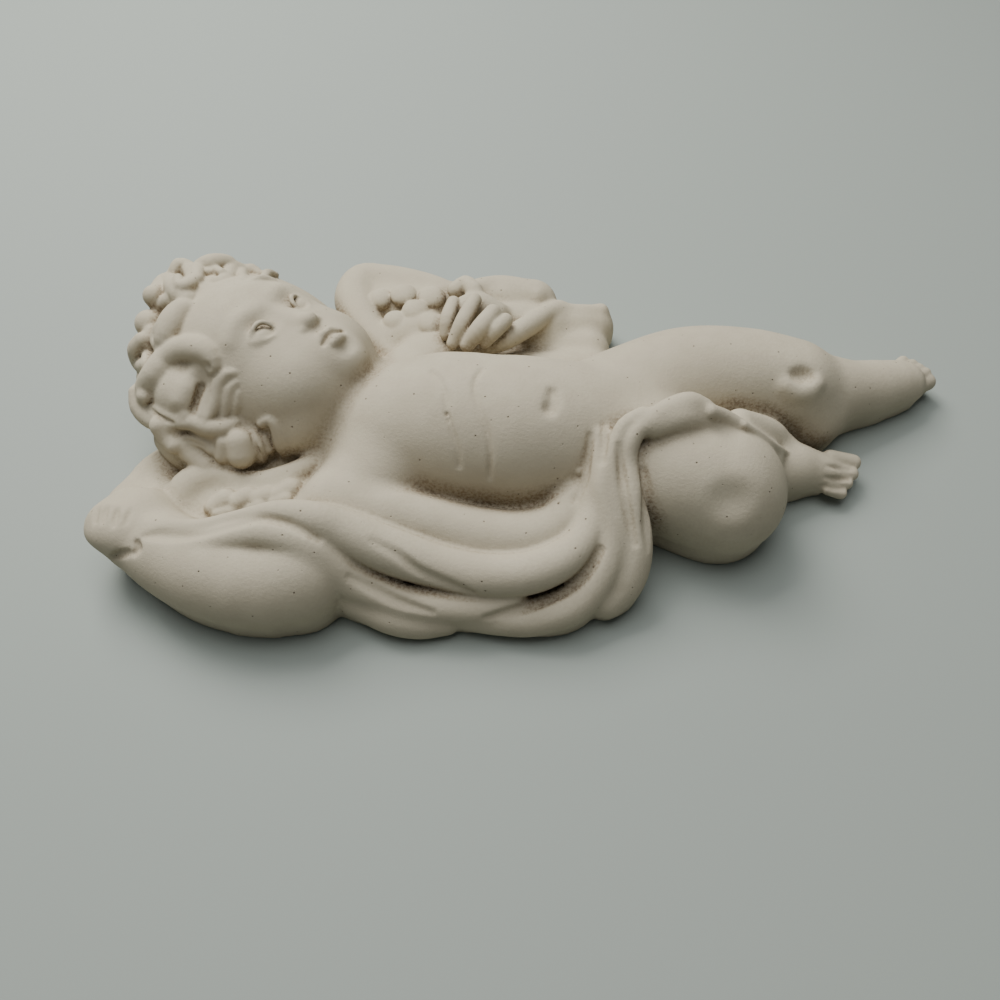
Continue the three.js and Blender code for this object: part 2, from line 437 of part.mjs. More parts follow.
// The long folds that hang from the near hand, swing under the body and climb over the hip
function shapeNearCloth(clay) {
  clay.add(limb(CLOTH_RADIUS, [-42, -30, 8, 1.08], [-20, -34, 7, 1], [0, -36, 6, 1], [18, -32, 7, 1],
    [30, -24, 9, 0.92]), 4);
  clay.add(limb(CLOTH_RADIUS, [-50.5, -27.5, 21, 0.54], [-37.5, -30, 19, 0.62], [-24.5, -32, 17, 0.62],
    [-10.5, -34.5, 15, 0.62], [4, -36, 15, 0.62], [14, -33, 17, 0.54], [20.5, -25.5, 20, 0.46]), 3);
  clay.add(limb(FOLD_RADIUS, [-102.5, -37, 21, 0.54], [-94.5, -38.5, 22.5, 0.6],
    [-84.5, -39, 23.5, 0.54], [-76, -37.5, 25, 0.52], [-69.5, -37, 27, 0.56], [-64.5, -37, 28.5, 0.67],
    [-59, -37.5, 29, 0.83], [-52, -38.5, 27.5, 1.08], [-45.5, -39.5, 24, 1.29], [-37.5, -41.5, 21, 1.38],
    [-28, -44, 18.5, 1.38], [-18.5, -46, 16.5, 1.29], [-6.5, -48, 15.5, 1.29], [5.5, -47.5, 16, 1.29],
    [15, -44.5, 18, 1.21], [21, -39.5, 20, 1.04], [24, -33, 22, 0.96], [24.5, -25.5, 25, 0.83],
    [25.5, -19.5, 30, 0.67], [27, -13, 34, 0.58]), 1.6);
  clay.add(limb(FOLD_RADIUS, [-101.5, -41, 19.5, 0.5], [-94, -43, 21, 0.67], [-83.5, -43.5, 22.5, 0.79],
    [-74, -42.5, 24.5, 0.88], [-66.5, -42, 26, 0.96], [-60, -43, 26, 1.08], [-54, -44.5, 23, 1.29],
    [-49, -46.5, 18.5, 1.33], [-43.5, -48.5, 14, 1.25], [-36.5, -51, 11.5, 1.08],
    [-27.5, -53.5, 10, 0.98], [-17, -54.5, 9, 0.96], [-6.5, -54.5, 9, 0.96], [2, -53, 9.5, 0.83]), 1.4);
  clay.add(limb(FOLD_RADIUS, [-51.5, -44.5, 10, 1.54], [-45.5, -48.5, 8, 1.33], [-38, -52.5, 6, 1.21],
    [-31, -55.5, 5, 1.17], [-24, -56.5, 4, 1.08], [-17, -55.5, 4, 1.04]), 1.8);
  clay.add(limb(FOLD_RADIUS, [-10, -54.5, 5, 1.04], [-1.5, -55.5, 5, 1.08], [7.5, -55.5, 5.5, 1.17],
    [17, -53.5, 8, 1.21], [23.5, -49, 11, 1.21], [27.5, -43.5, 15.5, 1.13], [29, -36.5, 20.5, 1],
    [27.5, -30.5, 25, 0.88], [26.5, -26, 28.5, 0.71], [27.5, -20, 32, 0.54]), 1.6);
  clay.add(limb(FOLD_RADIUS, [28.5, -49, 6, 1.33], [33, -45.5, 9, 1.33], [35.5, -41, 14, 1.21],
    [36, -35.5, 20, 1], [34.5, -28.5, 27, 0.79], [33.5, -20.5, 32, 0.62], [35, -15.5, 37, 0.54],
    [39.5, -11.5, 40, 0.54], [46, -7.5, 41, 0.58], [51, -6, 41, 0.62], [55, -6.5, 39, 0.62]), 1.6);
  clay.add(limb(FOLD_RADIUS, [31.5, -45, 11, 1.13], [31.5, -39, 17.5, 0.92], [31, -31.5, 24, 0.79],
    [29.5, -24.5, 29.5, 0.67], [29.5, -18.5, 34, 0.54], [32.5, -12.5, 38, 0.5], [37.5, -10, 40, 0.5]), 1.2);
  clay.add(limb(FOLD_RADIUS, [41, -12, 38, 0.83], [48.5, -9, 38, 1.04], [56, -7.5, 35, 1],
    [62.5, -8, 31, 0.96], [71, -7.5, 25, 0.96], [78.5, -7, 18.5, 0.92]), 2);
  clay.add(limb(FOLD_RADIUS, [69.5, 0, 24, 1.04], [79.5, 2, 17, 1.15], [84.5, 2, 12, 1.04]), 3);
}

function pressCloth(clay) {
  clay.press(limb(CREASE_RADIUS, [-42.5, -51.5, 19.5, 0.55], [-36.5, -53, 16.5, 1], [-29, -56, 14, 1.18],
    [-20, -58, 12, 0.73]), 1.8);
  clay.press(limb(CREASE_RADIUS, [-36, -44.5, 27, 0.45], [-29, -47.5, 24.5, 0.91],
    [-23.5, -50.5, 21, 1.09], [-15, -53, 18, 1], [-8.5, -54, 16, 0.55]), 1.8);
  clay.press(limb(CREASE_RADIUS, [-5.5, -58.5, 11, 0.45], [2, -57, 11.5, 1.09], [11, -53.5, 12, 1.18],
    [18, -51, 15, 1.09], [23, -47, 18.5, 0.91], [26, -43, 21.5, 0.45]), 1.8);
  clay.press(limb(CREASE_RADIUS, [30.5, -18.5, 37, 0.45], [31.5, -24, 33, 0.73], [32.5, -30.5, 30, 0.91],
    [34, -36, 25.5, 0.73], [35.5, -41.5, 21.5, 0.45]), 1.8);
  clay.press(limb(CREASE_RADIUS, [-98.5, -42.5, 25, 0.45], [-95, -42.5, 25.5, 1.09],
    [-90.5, -43, 26, 1.27], [-86, -43, 26, 0.91], [-80, -42.5, 27.5, 0.64], [-74, -41.5, 29, 0.55],
    [-66.5, -40.5, 30.5, 0.55], [-60.5, -41.5, 31, 0.55], [-55, -43.5, 30.5, 0.45],
    [-50.5, -45, 28, 0.36]), 1.8);
  clay.press(limb(CREASE_RADIUS, [-67.5, -52, 25.5, 0.55], [-67, -55, 24.5, 0.91],
    [-66.5, -58.5, 22, 0.45]), 1.8);
  clay.press(limb(CREASE_RADIUS, [38, -22.5, 31, 0.73], [38.5, -30.5, 27.5, 1.09],
    [39, -37.5, 23.5, 1.09], [39.5, -41.5, 20, 0.73]), 1.8);
  clay.press(limb(CREASE_RADIUS, [23, -14, 35.5, 0.45], [22.5, -19.5, 31.5, 0.73],
    [21.5, -24.5, 28.5, 0.82], [19, -29, 25.5, 0.55]), 1.8);
}

// The eight corners of a grid cell, and the pairs of them that its twelve edges join
const CORNERS = [0, 1, 2, 3, 4, 5, 6, 7].map((n) => [n >> 2, (n >> 1) & 1, n & 1]);
const ALL_INSIDE = 2 ** CORNERS.length - 1; // the mask of a cell whose corners are all inside
const EDGES = [];
for (let a = 0; a < CORNERS.length; a += 1) {
  for (const step of [1, 2, 4]) {
    if (!(a & step)) {
      EDGES.push([a, a + step]);
    }
  }
}

// True where the corners inside, or those outside, aren't all joined along the cell's edges
function isPinched(mask) {
  for (const wanted of [mask, mask ^ ALL_INSIDE]) {
    if (wanted) {
      let joined = wanted & -wanted;
      for (let pass = 0; pass < 4; pass += 1) {
        for (const [a, b] of EDGES) {
          const pair = (1 << a) | (1 << b);
          if ((wanted & pair) === pair && joined & pair) {
            joined |= pair;
          }
        }
      }
      if (joined !== wanted) {
        return true;
      }
    }
  }
  return false;
}

const PINCHED = Array.from({ length: ALL_INSIDE + 1 }, (_, mask) => isPinched(mask));

function eachCell(clay, visit) {
  const offsets = CORNERS.map(([i, j, k]) => i * clay.stride[0] + j * clay.stride[1] + k);
  for (let i = 0; i < clay.count[0] - 1; i += 1) {
    for (let j = 0; j < clay.count[1] - 1; j += 1) {
      for (let k = 0; k < clay.count[2] - 1; k += 1) {
        const base = i * clay.stride[0] + j * clay.stride[1] + k;
        let mask = 0;
        for (let n = 0; n < CORNERS.length; n += 1) {
          mask |= clay.value[base + offsets[n]] < 0 ? 1 << n : 0;
        }
        if (mask !== 0 && mask !== ALL_INSIDE) {
          visit(i, j, k, base, mask, offsets);
        }
      }
    }
  }
}

// Fills the cells where two sheets of the surface would touch, and counts them
function fillPinches(clay) {
  let filled = 0;
  eachCell(clay, (i, j, k, base, mask, offsets) => {
    if (PINCHED[mask]) {
      filled += 1;
      for (const offset of offsets) {
        const at = base + offset;
        clay.value[at] = Math.min(clay.value[at], JUST_INSIDE * clay.cell);
      }
    }
  });
  return filled;
}

// The surface: one point in each cell that it crosses, and two triangles across each crossed edge
function skin(clay) {
  const points = [];
  const pointOf = new Map();
  eachCell(clay, (i, j, k, base, mask, offsets) => {
    const sum = [0, 0, 0];
    let crossings = 0;
    for (const [a, b] of EDGES) {
      const va = clay.value[base + offsets[a]];
      const vb = clay.value[base + offsets[b]];
      if (va < 0 !== vb < 0) {
        const t = va / (va - vb);
        for (let axis = 0; axis < 3; axis += 1) {
          sum[axis] += CORNERS[a][axis] + t * (CORNERS[b][axis] - CORNERS[a][axis]);
        }
        crossings += 1;
      }
    }
    pointOf.set(base, points.length);
    const corner = [i, j, k];
    const spot = sum.map((s, axis) => corner[axis] + s / crossings);
    points.push(spot.map((v, axis) => clay.low.getComponent(axis) + v * clay.cell));
  });
  const triangles = [];
  eachCell(clay, (i, j, k, base) => {
    const insideHere = clay.value[base] < 0;
    for (let axis = 0; axis < 3; axis += 1) {
      const insideNext = clay.value[base + clay.stride[axis]] < 0;
      if (insideHere !== insideNext) {
        const u = clay.stride[(axis + 1) % 3];
        const v = clay.stride[(axis + 2) % 3];
        const ring = [base, base - u, base - u - v, base - v].map((cell) => pointOf.get(cell));
        const [a, b, c, d] = insideHere ? ring : ring.reverse();
        triangles.push([a, b, c], [a, c, d]);
      }
    }
  });
  return { points, triangles };
}

// Sum of squared distances from the planes of a point's triangles, as ten numbers
function planeError(p, q, r, weight) {
  const a = new THREE.Vector3(...p);
  const normal = new THREE.Vector3(...q).sub(a).cross(new THREE.Vector3(...r).sub(a));
  const area = normal.length();
  normal.divideScalar(area || 1);
  const { x, y, z } = normal;
  const w = -normal.dot(a);
  return [x * x, x * y, x * z, x * w, y * y, y * z, y * w, z * z, z * w, w * w].map((e) => e * area * weight);
}

function errorAt(e, [x, y, z]) {
  return e[0] * x * x + 2 * e[1] * x * y + 2 * e[2] * x * z + 2 * e[3] * x
    + e[4] * y * y + 2 * e[5] * y * z + 2 * e[6] * y + e[7] * z * z + 2 * e[8] * z + e[9];
}

const FLAT = 1e-5; // below this share, three planes are too nearly parallel to fix a place

// The place with the least error, or the middle of the edge where the planes don't fix one
function bestPlace(e, p, q) {
  const middle = p.map((v, axis) => (v + q[axis]) / 2);
  const matrix = new THREE.Matrix3(e[0], e[1], e[2], e[1], e[4], e[5], e[2], e[5], e[7]);
  const size = e[0] + e[4] + e[7];
  if (Math.abs(matrix.determinant()) < FLAT * size ** 3) {
    return middle;
  }
  const best = new THREE.Vector3(-e[3], -e[6], -e[8]).applyMatrix3(matrix.invert()).toArray();
  const edge = Math.hypot(...p.map((v, axis) => v - q[axis]));
  const stray = Math.hypot(...best.map((v, axis) => v - middle[axis]));
  return stray < edge ? best : middle;
}

// A queue that gives back the cheapest entry first
class Queue {
  constructor() {
    this.items = [];
  }

  push(item) {
    const { items } = this;
    let at = items.push(item) - 1;
    while (at > 0) {
      const parent = (at - 1) >> 1;
      if (items[parent].cost <= items[at].cost) {
        return;
      }
      [items[parent], items[at]] = [items[at], items[parent]];
      at = parent;
    }
  }

  pop() {
    const { items } = this;
    const top = items[0];
    const last = items.pop();
    if (items.length) {
      items[0] = last;
      let at = 0;
      for (;;) {
        const left = 2 * at + 1;
        const right = left + 1;
        let least = at;
        if (left < items.length && items[left].cost < items[least].cost) {
          least = left;
        }
        if (right < items.length && items[right].cost < items[least].cost) {
          least = right;
        }
        if (least === at) {
          break;
        }
        [items[least], items[at]] = [items[at], items[least]];
        at = least;
      }
    }
    return top;
  }
}

const SHORT_FIRST = 1e-4; // how much a long edge counts against a move
const LEAST_FACING = 0.35; // cosine of the most that a triangle may turn
const LEAST_BREADTH = 0.12; // height over length of the narrowest triangle allowed

// Drops triangles where the surface is flattest by drawing edges together, until the target is met
class Thinner {
  constructor({ points, triangles }, weightAt) {
    this.points = points;
    this.triangles = triangles;
    this.fans = points.map(() => new Set());
    this.errors = points.map(() => new Array(10).fill(0));
    this.age = new Int32Array(points.length);
    triangles.forEach((triangle, n) => {
      const corners = triangle.map((v) => points[v]);
      const error = planeError(...corners, weightAt(corners[0]));
      for (const v of triangle) {
        this.fans[v].add(n);
        this.errors[v] = this.errors[v].map((value, m) => value + error[m]);
      }
    });
    this.left = triangles.length;
    this.queue = new Queue();
    points.forEach((_, v) => {
      for (const other of this.neighbours(v)) {
        if (other > v) {
          this.offer(v, other);
        }
      }
    });
  }

  neighbours(v) {
    const found = new Set();
    for (const n of this.fans[v]) {
      for (const w of this.triangles[n]) {
        found.add(w);
      }
    }
    found.delete(v);
    return found;
  }

  offer(a, b) {
    const error = this.errors[a].map((value, m) => value + this.errors[b][m]);
    const spot = bestPlace(error, this.points[a], this.points[b]);
    const edge = Math.hypot(...this.points[a].map((v, axis) => v - this.points[b][axis]));
    const cost = errorAt(error, spot) + SHORT_FIRST * edge * edge;
    this.queue.push({ cost, a, b, spot, error, ageA: this.age[a], ageB: this.age[b] });
  }

  normalOf(corners) {
    const [p, q, r] = corners.map((corner) => new THREE.Vector3(...corner));
    return q.sub(p).cross(r.sub(p));
  }

  // A move is kept off if it would turn a triangle over or draw it out to a sliver
  spoils(v, other, spot) {
    for (const n of this.fans[v]) {
      const triangle = this.triangles[n];
      if (!triangle.includes(other)) {
        const before = this.normalOf(triangle.map((w) => this.points[w]));
        const moved = triangle.map((w) => (w === v ? spot : this.points[w]));
        const after = this.normalOf(moved);
        const sides = moved.map((p, m) => {
          const next = moved[(m + 1) % 3];
          return Math.hypot(...p.map((value, axis) => value - next[axis]));
        });
        const turned = before.dot(after) < LEAST_FACING * before.length() * after.length();
        const sliver = after.length() < LEAST_BREADTH * Math.max(...sides) ** 2;
        if (turned || sliver) {
          return true;
        }
      }
    }
    return false;
  }

  drawTogether({ a, b, spot, error }) {
    const near = this.neighbours(a);
    const shared = [...this.neighbours(b)].filter((v) => near.has(v));
    if (shared.length !== 2 || this.spoils(a, b, spot) || this.spoils(b, a, spot)) {
      return;
    }
    for (const n of [...this.fans[b]]) {
      const triangle = this.triangles[n];
      if (triangle.includes(a)) {
        triangle.forEach((v) => this.fans[v].delete(n));
        this.triangles[n] = null;
        this.left -= 1;
      } else {
        triangle[triangle.indexOf(b)] = a;
        this.fans[a].add(n);
      }
    }
    this.fans[b].clear();
    this.points[a] = spot;
    this.errors[a] = error;
    this.age[a] += 1;
    this.age[b] += 1;
    for (const other of this.neighbours(a)) {
      this.offer(a, other);
    }
  }

  run(target) {
    while (this.left > target && this.queue.items.length) {
      const move = this.queue.pop();
      if (this.age[move.a] === move.ageA && this.age[move.b] === move.ageB) {
        this.drawTogether(move);
      }
    }
    return this;
  }

  geometry() {
    const kept = this.triangles.filter(Boolean);
    const corners = kept.flatMap((triangle) => triangle.flatMap((v) => this.points[v]));
    const geometry = new THREE.BufferGeometry();
    geometry.setAttribute('position', new THREE.Float32BufferAttribute(corners, 3));
    return geometry;
  }
}

// The middles of the hands and feet
const SMALL_PARTS = [place(-12, 38, 28), place(-108, -34, 18), place(103, -4, 7), place(137, 38, 9)];
const SMALL_REACH = 14 * ALONG;

// Hands and the head keep more triangles than the broad forms
function detailAt([x, y, z]) {
  const point = new THREE.Vector3(x, y, z);
  if (point.distanceTo(HEAD_CENTRE) < 1.6 * HEAD_RADIUS) {
    return HEAD_DETAIL;
  }
  return SMALL_PARTS.some((centre) => point.distanceTo(centre) < SMALL_REACH) ? HAND_DETAIL : 1;
}

const ROOM = new THREE.Box3(place(-128, -74, -4), place(150, 88, 60)); // all that the figure can reach

function shapeFigure() {
  const clay = new Clay(ROOM, CELL);
  shapeTorso(clay);
  shapeLegs(clay);
  shapeToes(clay);
  shapeHead(clay);
  shapeFarWing(clay);
  shapeNearWing(clay);
  shapeNearHand(clay);
  shapeFarHand(clay);
  shapeFarCloth(clay);
  shapeNearCloth(clay);
  pressCloth(clay);
  pressBelly(clay);
  shapeHair(clay);
  shapeFace(clay);
  const floor = Math.ceil(-clay.low.z / clay.cell);
  fillUnder(clay);
  let filled = 1;
  while (filled) {
    filled = fillHollows(clay, floor);
    squareBelow(clay, floor);
    filled += fillPinches(clay);
  }
  return new Thinner(skin(clay), detailAt).run(FACETS).geometry();
}

// Fills every hollow that can't be reached from around the figure above its back, and counts its points
function fillHollows(clay, floor) {
  const reached = new Uint8Array(clay.value.length);
  const open = [floor];
  reached[floor] = 1;
  while (open.length) {
    const at = open.pop();
    const i = Math.floor(at / clay.stride[0]);
    const j = Math.floor((at % clay.stride[0]) / clay.stride[1]);
    const k = at % clay.stride[1];
    [i, j, k].forEach((value, axis) => {
      for (const step of [-1, 1]) {
        const next = value + step;
        const lowest = axis === 2 ? floor : 0;
        const to = at + step * clay.stride[axis];
        if (next >= lowest && next < clay.count[axis] && !reached[to] && clay.value[to] >= 0) {
          reached[to] = 1;
          open.push(to);
        }
      }
    });
  }
  let filled = 0;
  for (let at = 0; at < clay.value.length; at += 1) {
    const above = at % clay.stride[1] >= floor;
    if (above && !reached[at] && clay.value[at] >= 0) {
      clay.value[at] = JUST_INSIDE * clay.cell;
      filled += 1;
    }
  }
  return filled;
}

// The columns that lie outside the figure's outline at one level, and not in a gap that it closes off
function columnsOutside(clay, level) {
  const [across, along] = [clay.count[1], clay.count[0]];
  const outside = new Uint8Array(along * across);
  const open = [0];
  outside[0] = 1;
  while (open.length) {
    const at = open.pop();
    const i = Math.floor(at / across);
    const j = at % across;
    for (const [toI, toJ] of [[i - 1, j], [i + 1, j], [i, j - 1], [i, j + 1]]) {
      const next = toI * across + toJ;
      const inRoom = toI >= 0 && toI < along && toJ >= 0 && toJ < across;
      if (inRoom && !outside[next] && clay.value[next * clay.stride[1] + level] >= 0) {
        outside[next] = 1;
        open.push(next);
      }
    }
  }
  return outside;
}

// Fills in near the back: under the round forms, so that the sides run down with a little draft, and the gaps
// between them
function fillUnder(clay) {
  const side = Math.round((SIDE_HEIGHT - clay.low.z) / clay.cell);
  const outside = columnsOutside(clay, side);
  outside.forEach((isOutside, n) => {
    const column = n * clay.stride[1];
    const isGap = !isOutside && clay.value[column + side] >= 0;
    const outline = isGap ? -FAR : clay.value[column + side];
    for (let k = 0; k < side; k += 1) {
      const draft = DRAFT * (side - k) * clay.cell;
      clay.value[column + k] = Math.min(clay.value[column + k], outline + draft);
    }
  });
}

// Carries the outline at the back straight down to be cut, and closes the edges of the grid
function squareBelow(clay, floor) {
  const [nx, ny, nz] = clay.count;
  for (let i = 0; i < nx; i += 1) {
    for (let j = 0; j < ny; j += 1) {
      const column = i * clay.stride[0] + j * clay.stride[1];
      for (let k = 0; k < nz; k += 1) {
        const at = column + k;
        const onEdge = i % (nx - 1) === 0 || j % (ny - 1) === 0 || k % (nz - 1) === 0;
        clay.value[at] = k < floor ? clay.value[column + floor] : clay.value[at];
        clay.value[at] = onEdge ? clay.cell / 2 : clay.value[at];
      }
    }
  }
}

const SAME_PLACE = 1e-5; // points nearer than this are one
const wasm = await Module();
wasm.setup();

function toSolid(geometry) {
  const bare = geometry.clone();
  bare.deleteAttribute('normal');
  bare.deleteAttribute('uv');
  const merged = mergeVertices(bare, SAME_PLACE);
  return new wasm.Manifold(new wasm.Mesh({
    numProp: 3,
    vertProperties: new Float32Array(merged.attributes.position.array),
    triVerts: new Uint32Array(merged.index.array),
  }));
}

function toGeometry(solid) {
  const mesh = solid.getMesh();
  const geometry = new THREE.BufferGeometry();
  geometry.setAttribute('position', new THREE.BufferAttribute(mesh.vertProperties, 3));
  geometry.setIndex(new THREE.BufferAttribute(mesh.triVerts, 1));
  geometry.computeVertexNormals();
  return geometry;
}

// The back is cut flat, as the open side of the mould leaves it
function cutBack(figure) {
  const depth = PROUD;
  const block = new THREE.BoxGeometry(2 * LENGTH, 2 * LENGTH, depth);
  block.translate(0, 0, -depth / 2);
  return toGeometry(toSolid(figure).subtract(toSolid(block)));
}

const plaque = new THREE.Mesh(cutBack(shapeFigure()), new THREE.MeshStandardMaterial(PLASTER));
plaque.name = 'cherub_plaque';

const part = new THREE.Group();
part.add(plaque);

export default part;
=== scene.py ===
"""A cherub wall plaque, cast in one piece of cream plaster: the finely carved cast and its finish.

The casting is worked up as a block of clay, a grid of signed distances, from the same forms and sizes as
the faceted solid, with the carving that the solid is too coarse for. Forms are in millimetres, in the
frame's own axes; the finished mesh is in metres.
"""
import logging
import math
from dataclasses import dataclass, field
from enum import Enum
from typing import Optional, Sequence, Union

import bpy
import numpy as np
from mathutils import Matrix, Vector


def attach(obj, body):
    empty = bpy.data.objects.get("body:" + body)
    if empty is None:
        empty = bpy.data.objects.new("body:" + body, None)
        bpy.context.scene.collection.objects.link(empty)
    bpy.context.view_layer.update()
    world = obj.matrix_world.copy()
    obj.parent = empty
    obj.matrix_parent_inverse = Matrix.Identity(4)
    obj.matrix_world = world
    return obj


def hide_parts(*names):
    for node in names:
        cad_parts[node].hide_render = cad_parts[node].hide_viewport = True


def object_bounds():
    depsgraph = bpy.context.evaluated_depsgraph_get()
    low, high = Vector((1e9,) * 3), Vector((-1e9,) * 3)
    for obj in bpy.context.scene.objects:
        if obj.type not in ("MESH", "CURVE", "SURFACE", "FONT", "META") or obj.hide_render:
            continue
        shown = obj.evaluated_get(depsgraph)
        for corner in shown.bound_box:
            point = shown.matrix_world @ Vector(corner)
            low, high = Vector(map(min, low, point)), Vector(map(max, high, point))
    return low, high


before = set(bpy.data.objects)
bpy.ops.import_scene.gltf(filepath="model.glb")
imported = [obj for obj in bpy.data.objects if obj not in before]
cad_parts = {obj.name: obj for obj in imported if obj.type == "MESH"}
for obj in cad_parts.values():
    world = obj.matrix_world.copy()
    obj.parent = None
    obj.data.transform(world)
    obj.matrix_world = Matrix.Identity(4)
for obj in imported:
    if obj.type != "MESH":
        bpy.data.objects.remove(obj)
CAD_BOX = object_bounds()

import openvdb
from mathutils import Vector

log = logging.getLogger("cherub_plaque")

NODE = "cherub_plaque"
BODY = "root"
METRES = 0.001  # one millimetre

Point = tuple[float, float, float]
Station = tuple[float, float, float, float]  # a place and a share of the form's radius


def unit(vector: Sequence[float]) -> np.ndarray:
    """The vector at length one."""
    values = np.array(vector, float)
    return values / np.linalg.norm(values)


@dataclass(frozen=True)
class HeadFrame:
    """The head's own axes: the child's right, the way the face looks, and the crown."""

    centre: Point = (-71.5, 20.5, 21.5)
    look: Point = (0.287, 0.089, 0.954)
    crown: Point = (-0.865, 0.453, 0.218)

    def axes(self) -> np.ndarray:
        """Rows are right, look and crown, each at length one and square to the others."""
        look = unit(self.look)
        crown = np.array(self.crown, float)
        crown = unit(crown - crown @ look * look)
        return np.stack([np.cross(look, crown), look, crown])

    def at(self, right: float, forward: float, up: float) -> np.ndarray:
        """The place in the cast of a point that is given in the head's own axes."""
        return np.array(self.centre) + np.array([right, forward, up]) @ self.axes()


HEAD = HeadFrame()


@dataclass
class Patch:
    """The part of the clay that one form can reach."""

    part: tuple[slice, slice, slice]
    x: np.ndarray
    y: np.ndarray
    z: np.ndarray


@dataclass
class Clay:
    """A block of clay: a grid of distances to the surface, negative inside, in millimetres."""

    low: Point = (-128.0, -74.0, -5.0)
    high: Point = (150.0, 88.0, 58.0)
    cell: float = 0.5
    far: float = 12.0  # held where no form has reached yet
    skin_at: float = 0.003  # the skin's distance, just off zero as many grid points lie exactly on a form
    step_along: float = 2.0  # how long the pieces of a rolled form are at most
    spare: int = 3  # cells that are measured beyond a form's fillet
    gap: np.ndarray = field(init=False, repr=False)

    def __post_init__(self) -> None:
        """Fills the block with open space."""
        size = np.subtract(self.high, self.low)
        self.gap = np.full(np.ceil(size / self.cell).astype(int) + 1, self.far, np.float32)

    def patch(self, low: np.ndarray, high: np.ndarray) -> Patch:
        """The grid points between two corners.

        Args:
            low: The lowest corner, in millimetres.
            high: The highest corner.

        Returns:
            The slices of the grid there, with the coordinates of their points.
        """
        first = np.clip(np.floor((low - self.low) / self.cell).astype(int), 0, self.gap.shape)
        last = np.clip(np.ceil((high - self.low) / self.cell).astype(int) + 1, 0, self.gap.shape)
        part = tuple(slice(a, b) for a, b in zip(first, last))
        ranges = [self.low[n] + self.cell * np.arange(first[n], last[n], dtype=np.float32) for n in range(3)]
        return Patch(part, *np.meshgrid(*ranges, indexing="ij", sparse=True))

    def merge(self, part: tuple[slice, slice, slice], form: np.ndarray, soft: float, pressed: bool) -> None:
        """Joins a form to the clay, or presses it in, with a fillet between them.

        Args:
            part: The slices of the grid that the form was measured on.
            form: The distances to the form there.
            soft: How wide the fillet is, in millimetres.
            pressed: True to take the form out of the clay.
        """
        old = self.gap[part]
        other = -form if pressed else form
        overlap = np.maximum(soft - np.abs(old - other), 0.0) / soft
        fillet = overlap * overlap * (soft / 4)
        self.gap[part] = np.maximum(old, other) + fillet if pressed else np.minimum(old, other) - fillet

    def ball(self, centre: Sequence[float], radii: Sequence[float], soft: float,
             pressed: bool = False, axes: Optional[np.ndarray] = None) -> None:
        """Works a ball with three radii into the clay.

        Args:
            centre: Its centre.
            radii: Its radius along each of the axes.
            soft: How wide the fillet round it is.
            pressed: True to press it in instead of adding it.
            axes: Rows are its axes; without them it lies along the cast's own.
        """
        rows = np.eye(3) if axes is None else axes
        centre = np.array(centre, float)
        half = np.sqrt(((rows * np.array(radii)[:, None]) ** 2).sum(0)) + soft + self.spare * self.cell
        patch = self.patch(centre - half, centre + half)
        near = 0.0
        steep = 1e-9
        for row, radius in zip(rows, radii):
            x, y, z = patch.x - centre[0], patch.y - centre[1], patch.z - centre[2]
            along = row[0] * x + row[1] * y + row[2] * z
            near = near + (along / radius) ** 2
            steep = steep + (along / radius ** 2) ** 2
        near = np.sqrt(near)
        self.merge(patch.part, near * (near - 1) / np.sqrt(steep), soft, pressed)

    def head_ball(self, place: Point, radii: Point, soft: float, pressed: bool = False) -> None:
        """Works a ball into the head, with its place and radii in the head's own axes."""
        self.ball(HEAD.at(*place), radii, soft, pressed, HEAD.axes())

    def route(self, stations: np.ndarray) -> np.ndarray:
        """A smooth curve through the stations, with a point every few millimetres."""
        before = 2 * stations[0] - stations[1]
        after = 2 * stations[-1] - stations[-2]
        knots = np.vstack([before, stations, after])
        points = []
        for a, b, c, d in zip(knots, knots[1:], knots[2:], knots[3:]):
            steps = max(2, math.ceil(np.linalg.norm((c - b)[:3]) / self.step_along))
            for t in np.arange(steps) / steps:
                bend = (2 * a - 5 * b + 4 * c - d) * t ** 2 + (3 * b - a - 3 * c + d) * t ** 3
                points.append((2 * b + (c - a) * t + bend) / 2)
        return np.array([*points, stations[-1]])

    def roll(self, radius: float, stations: Sequence[Station], soft: float, pressed: bool = False) -> None:
        """Works a rolled form into the clay, along a smooth curve through its stations.

        Args:
            radius: The radius that the stations' shares are of.
            stations: The places that it passes, each with its share of the radius.
            soft: How wide the fillet beside it is.
            pressed: True to press it in as a groove.
        """
        points = self.route(np.array(stations, float) * [1, 1, 1, radius])
        reach = soft + self.spare * self.cell
        widest = reach + points[:, 3].max()
        whole = self.patch(points[:, :3].min(0) - widest, points[:, :3].max(0) + widest)
        form = np.full([s.stop - s.start for s in whole.part], self.far, np.float32)
        for a, b in zip(points, points[1:]):
            near = reach + max(a[3], b[3])
            patch = self.patch(np.minimum(a, b)[:3] - near, np.maximum(a, b)[:3] + near)
            u = b[:3] - a[:3]
            x, y, z = patch.x - a[0], patch.y - a[1], patch.z - a[2]
            t = np.clip((x * u[0] + y * u[1] + z * u[2]) / (u @ u), 0, 1)
            gap = np.sqrt((x - t * u[0]) ** 2 + (y - t * u[1]) ** 2 + (z - t * u[2]) ** 2)
            gap -= a[3] + t * (b[3] - a[3])
            inner = tuple(slice(p.start - w.start, p.stop - w.start) for p, w in zip(patch.part, whole.part))
            form[inner] = np.minimum(form[inner], gap)
        self.merge(whole.part, form, soft, pressed)

    def feature(self, radius: float, stations: Sequence[Station], soft: float,
                pressed: bool = False) -> None:
        """Works a rolled form into the head, with its stations in the head's own axes."""
        placed = [(*HEAD.at(right, forward, up), share) for right, forward, up, share in stations]
        self.roll(radius, placed, soft, pressed)

    def groove(self, radius: float, stations: Sequence[Station], soft: float) -> None:
        """Presses a rolled form into the clay as a groove."""
        self.roll(radius, stations, soft, pressed=True)

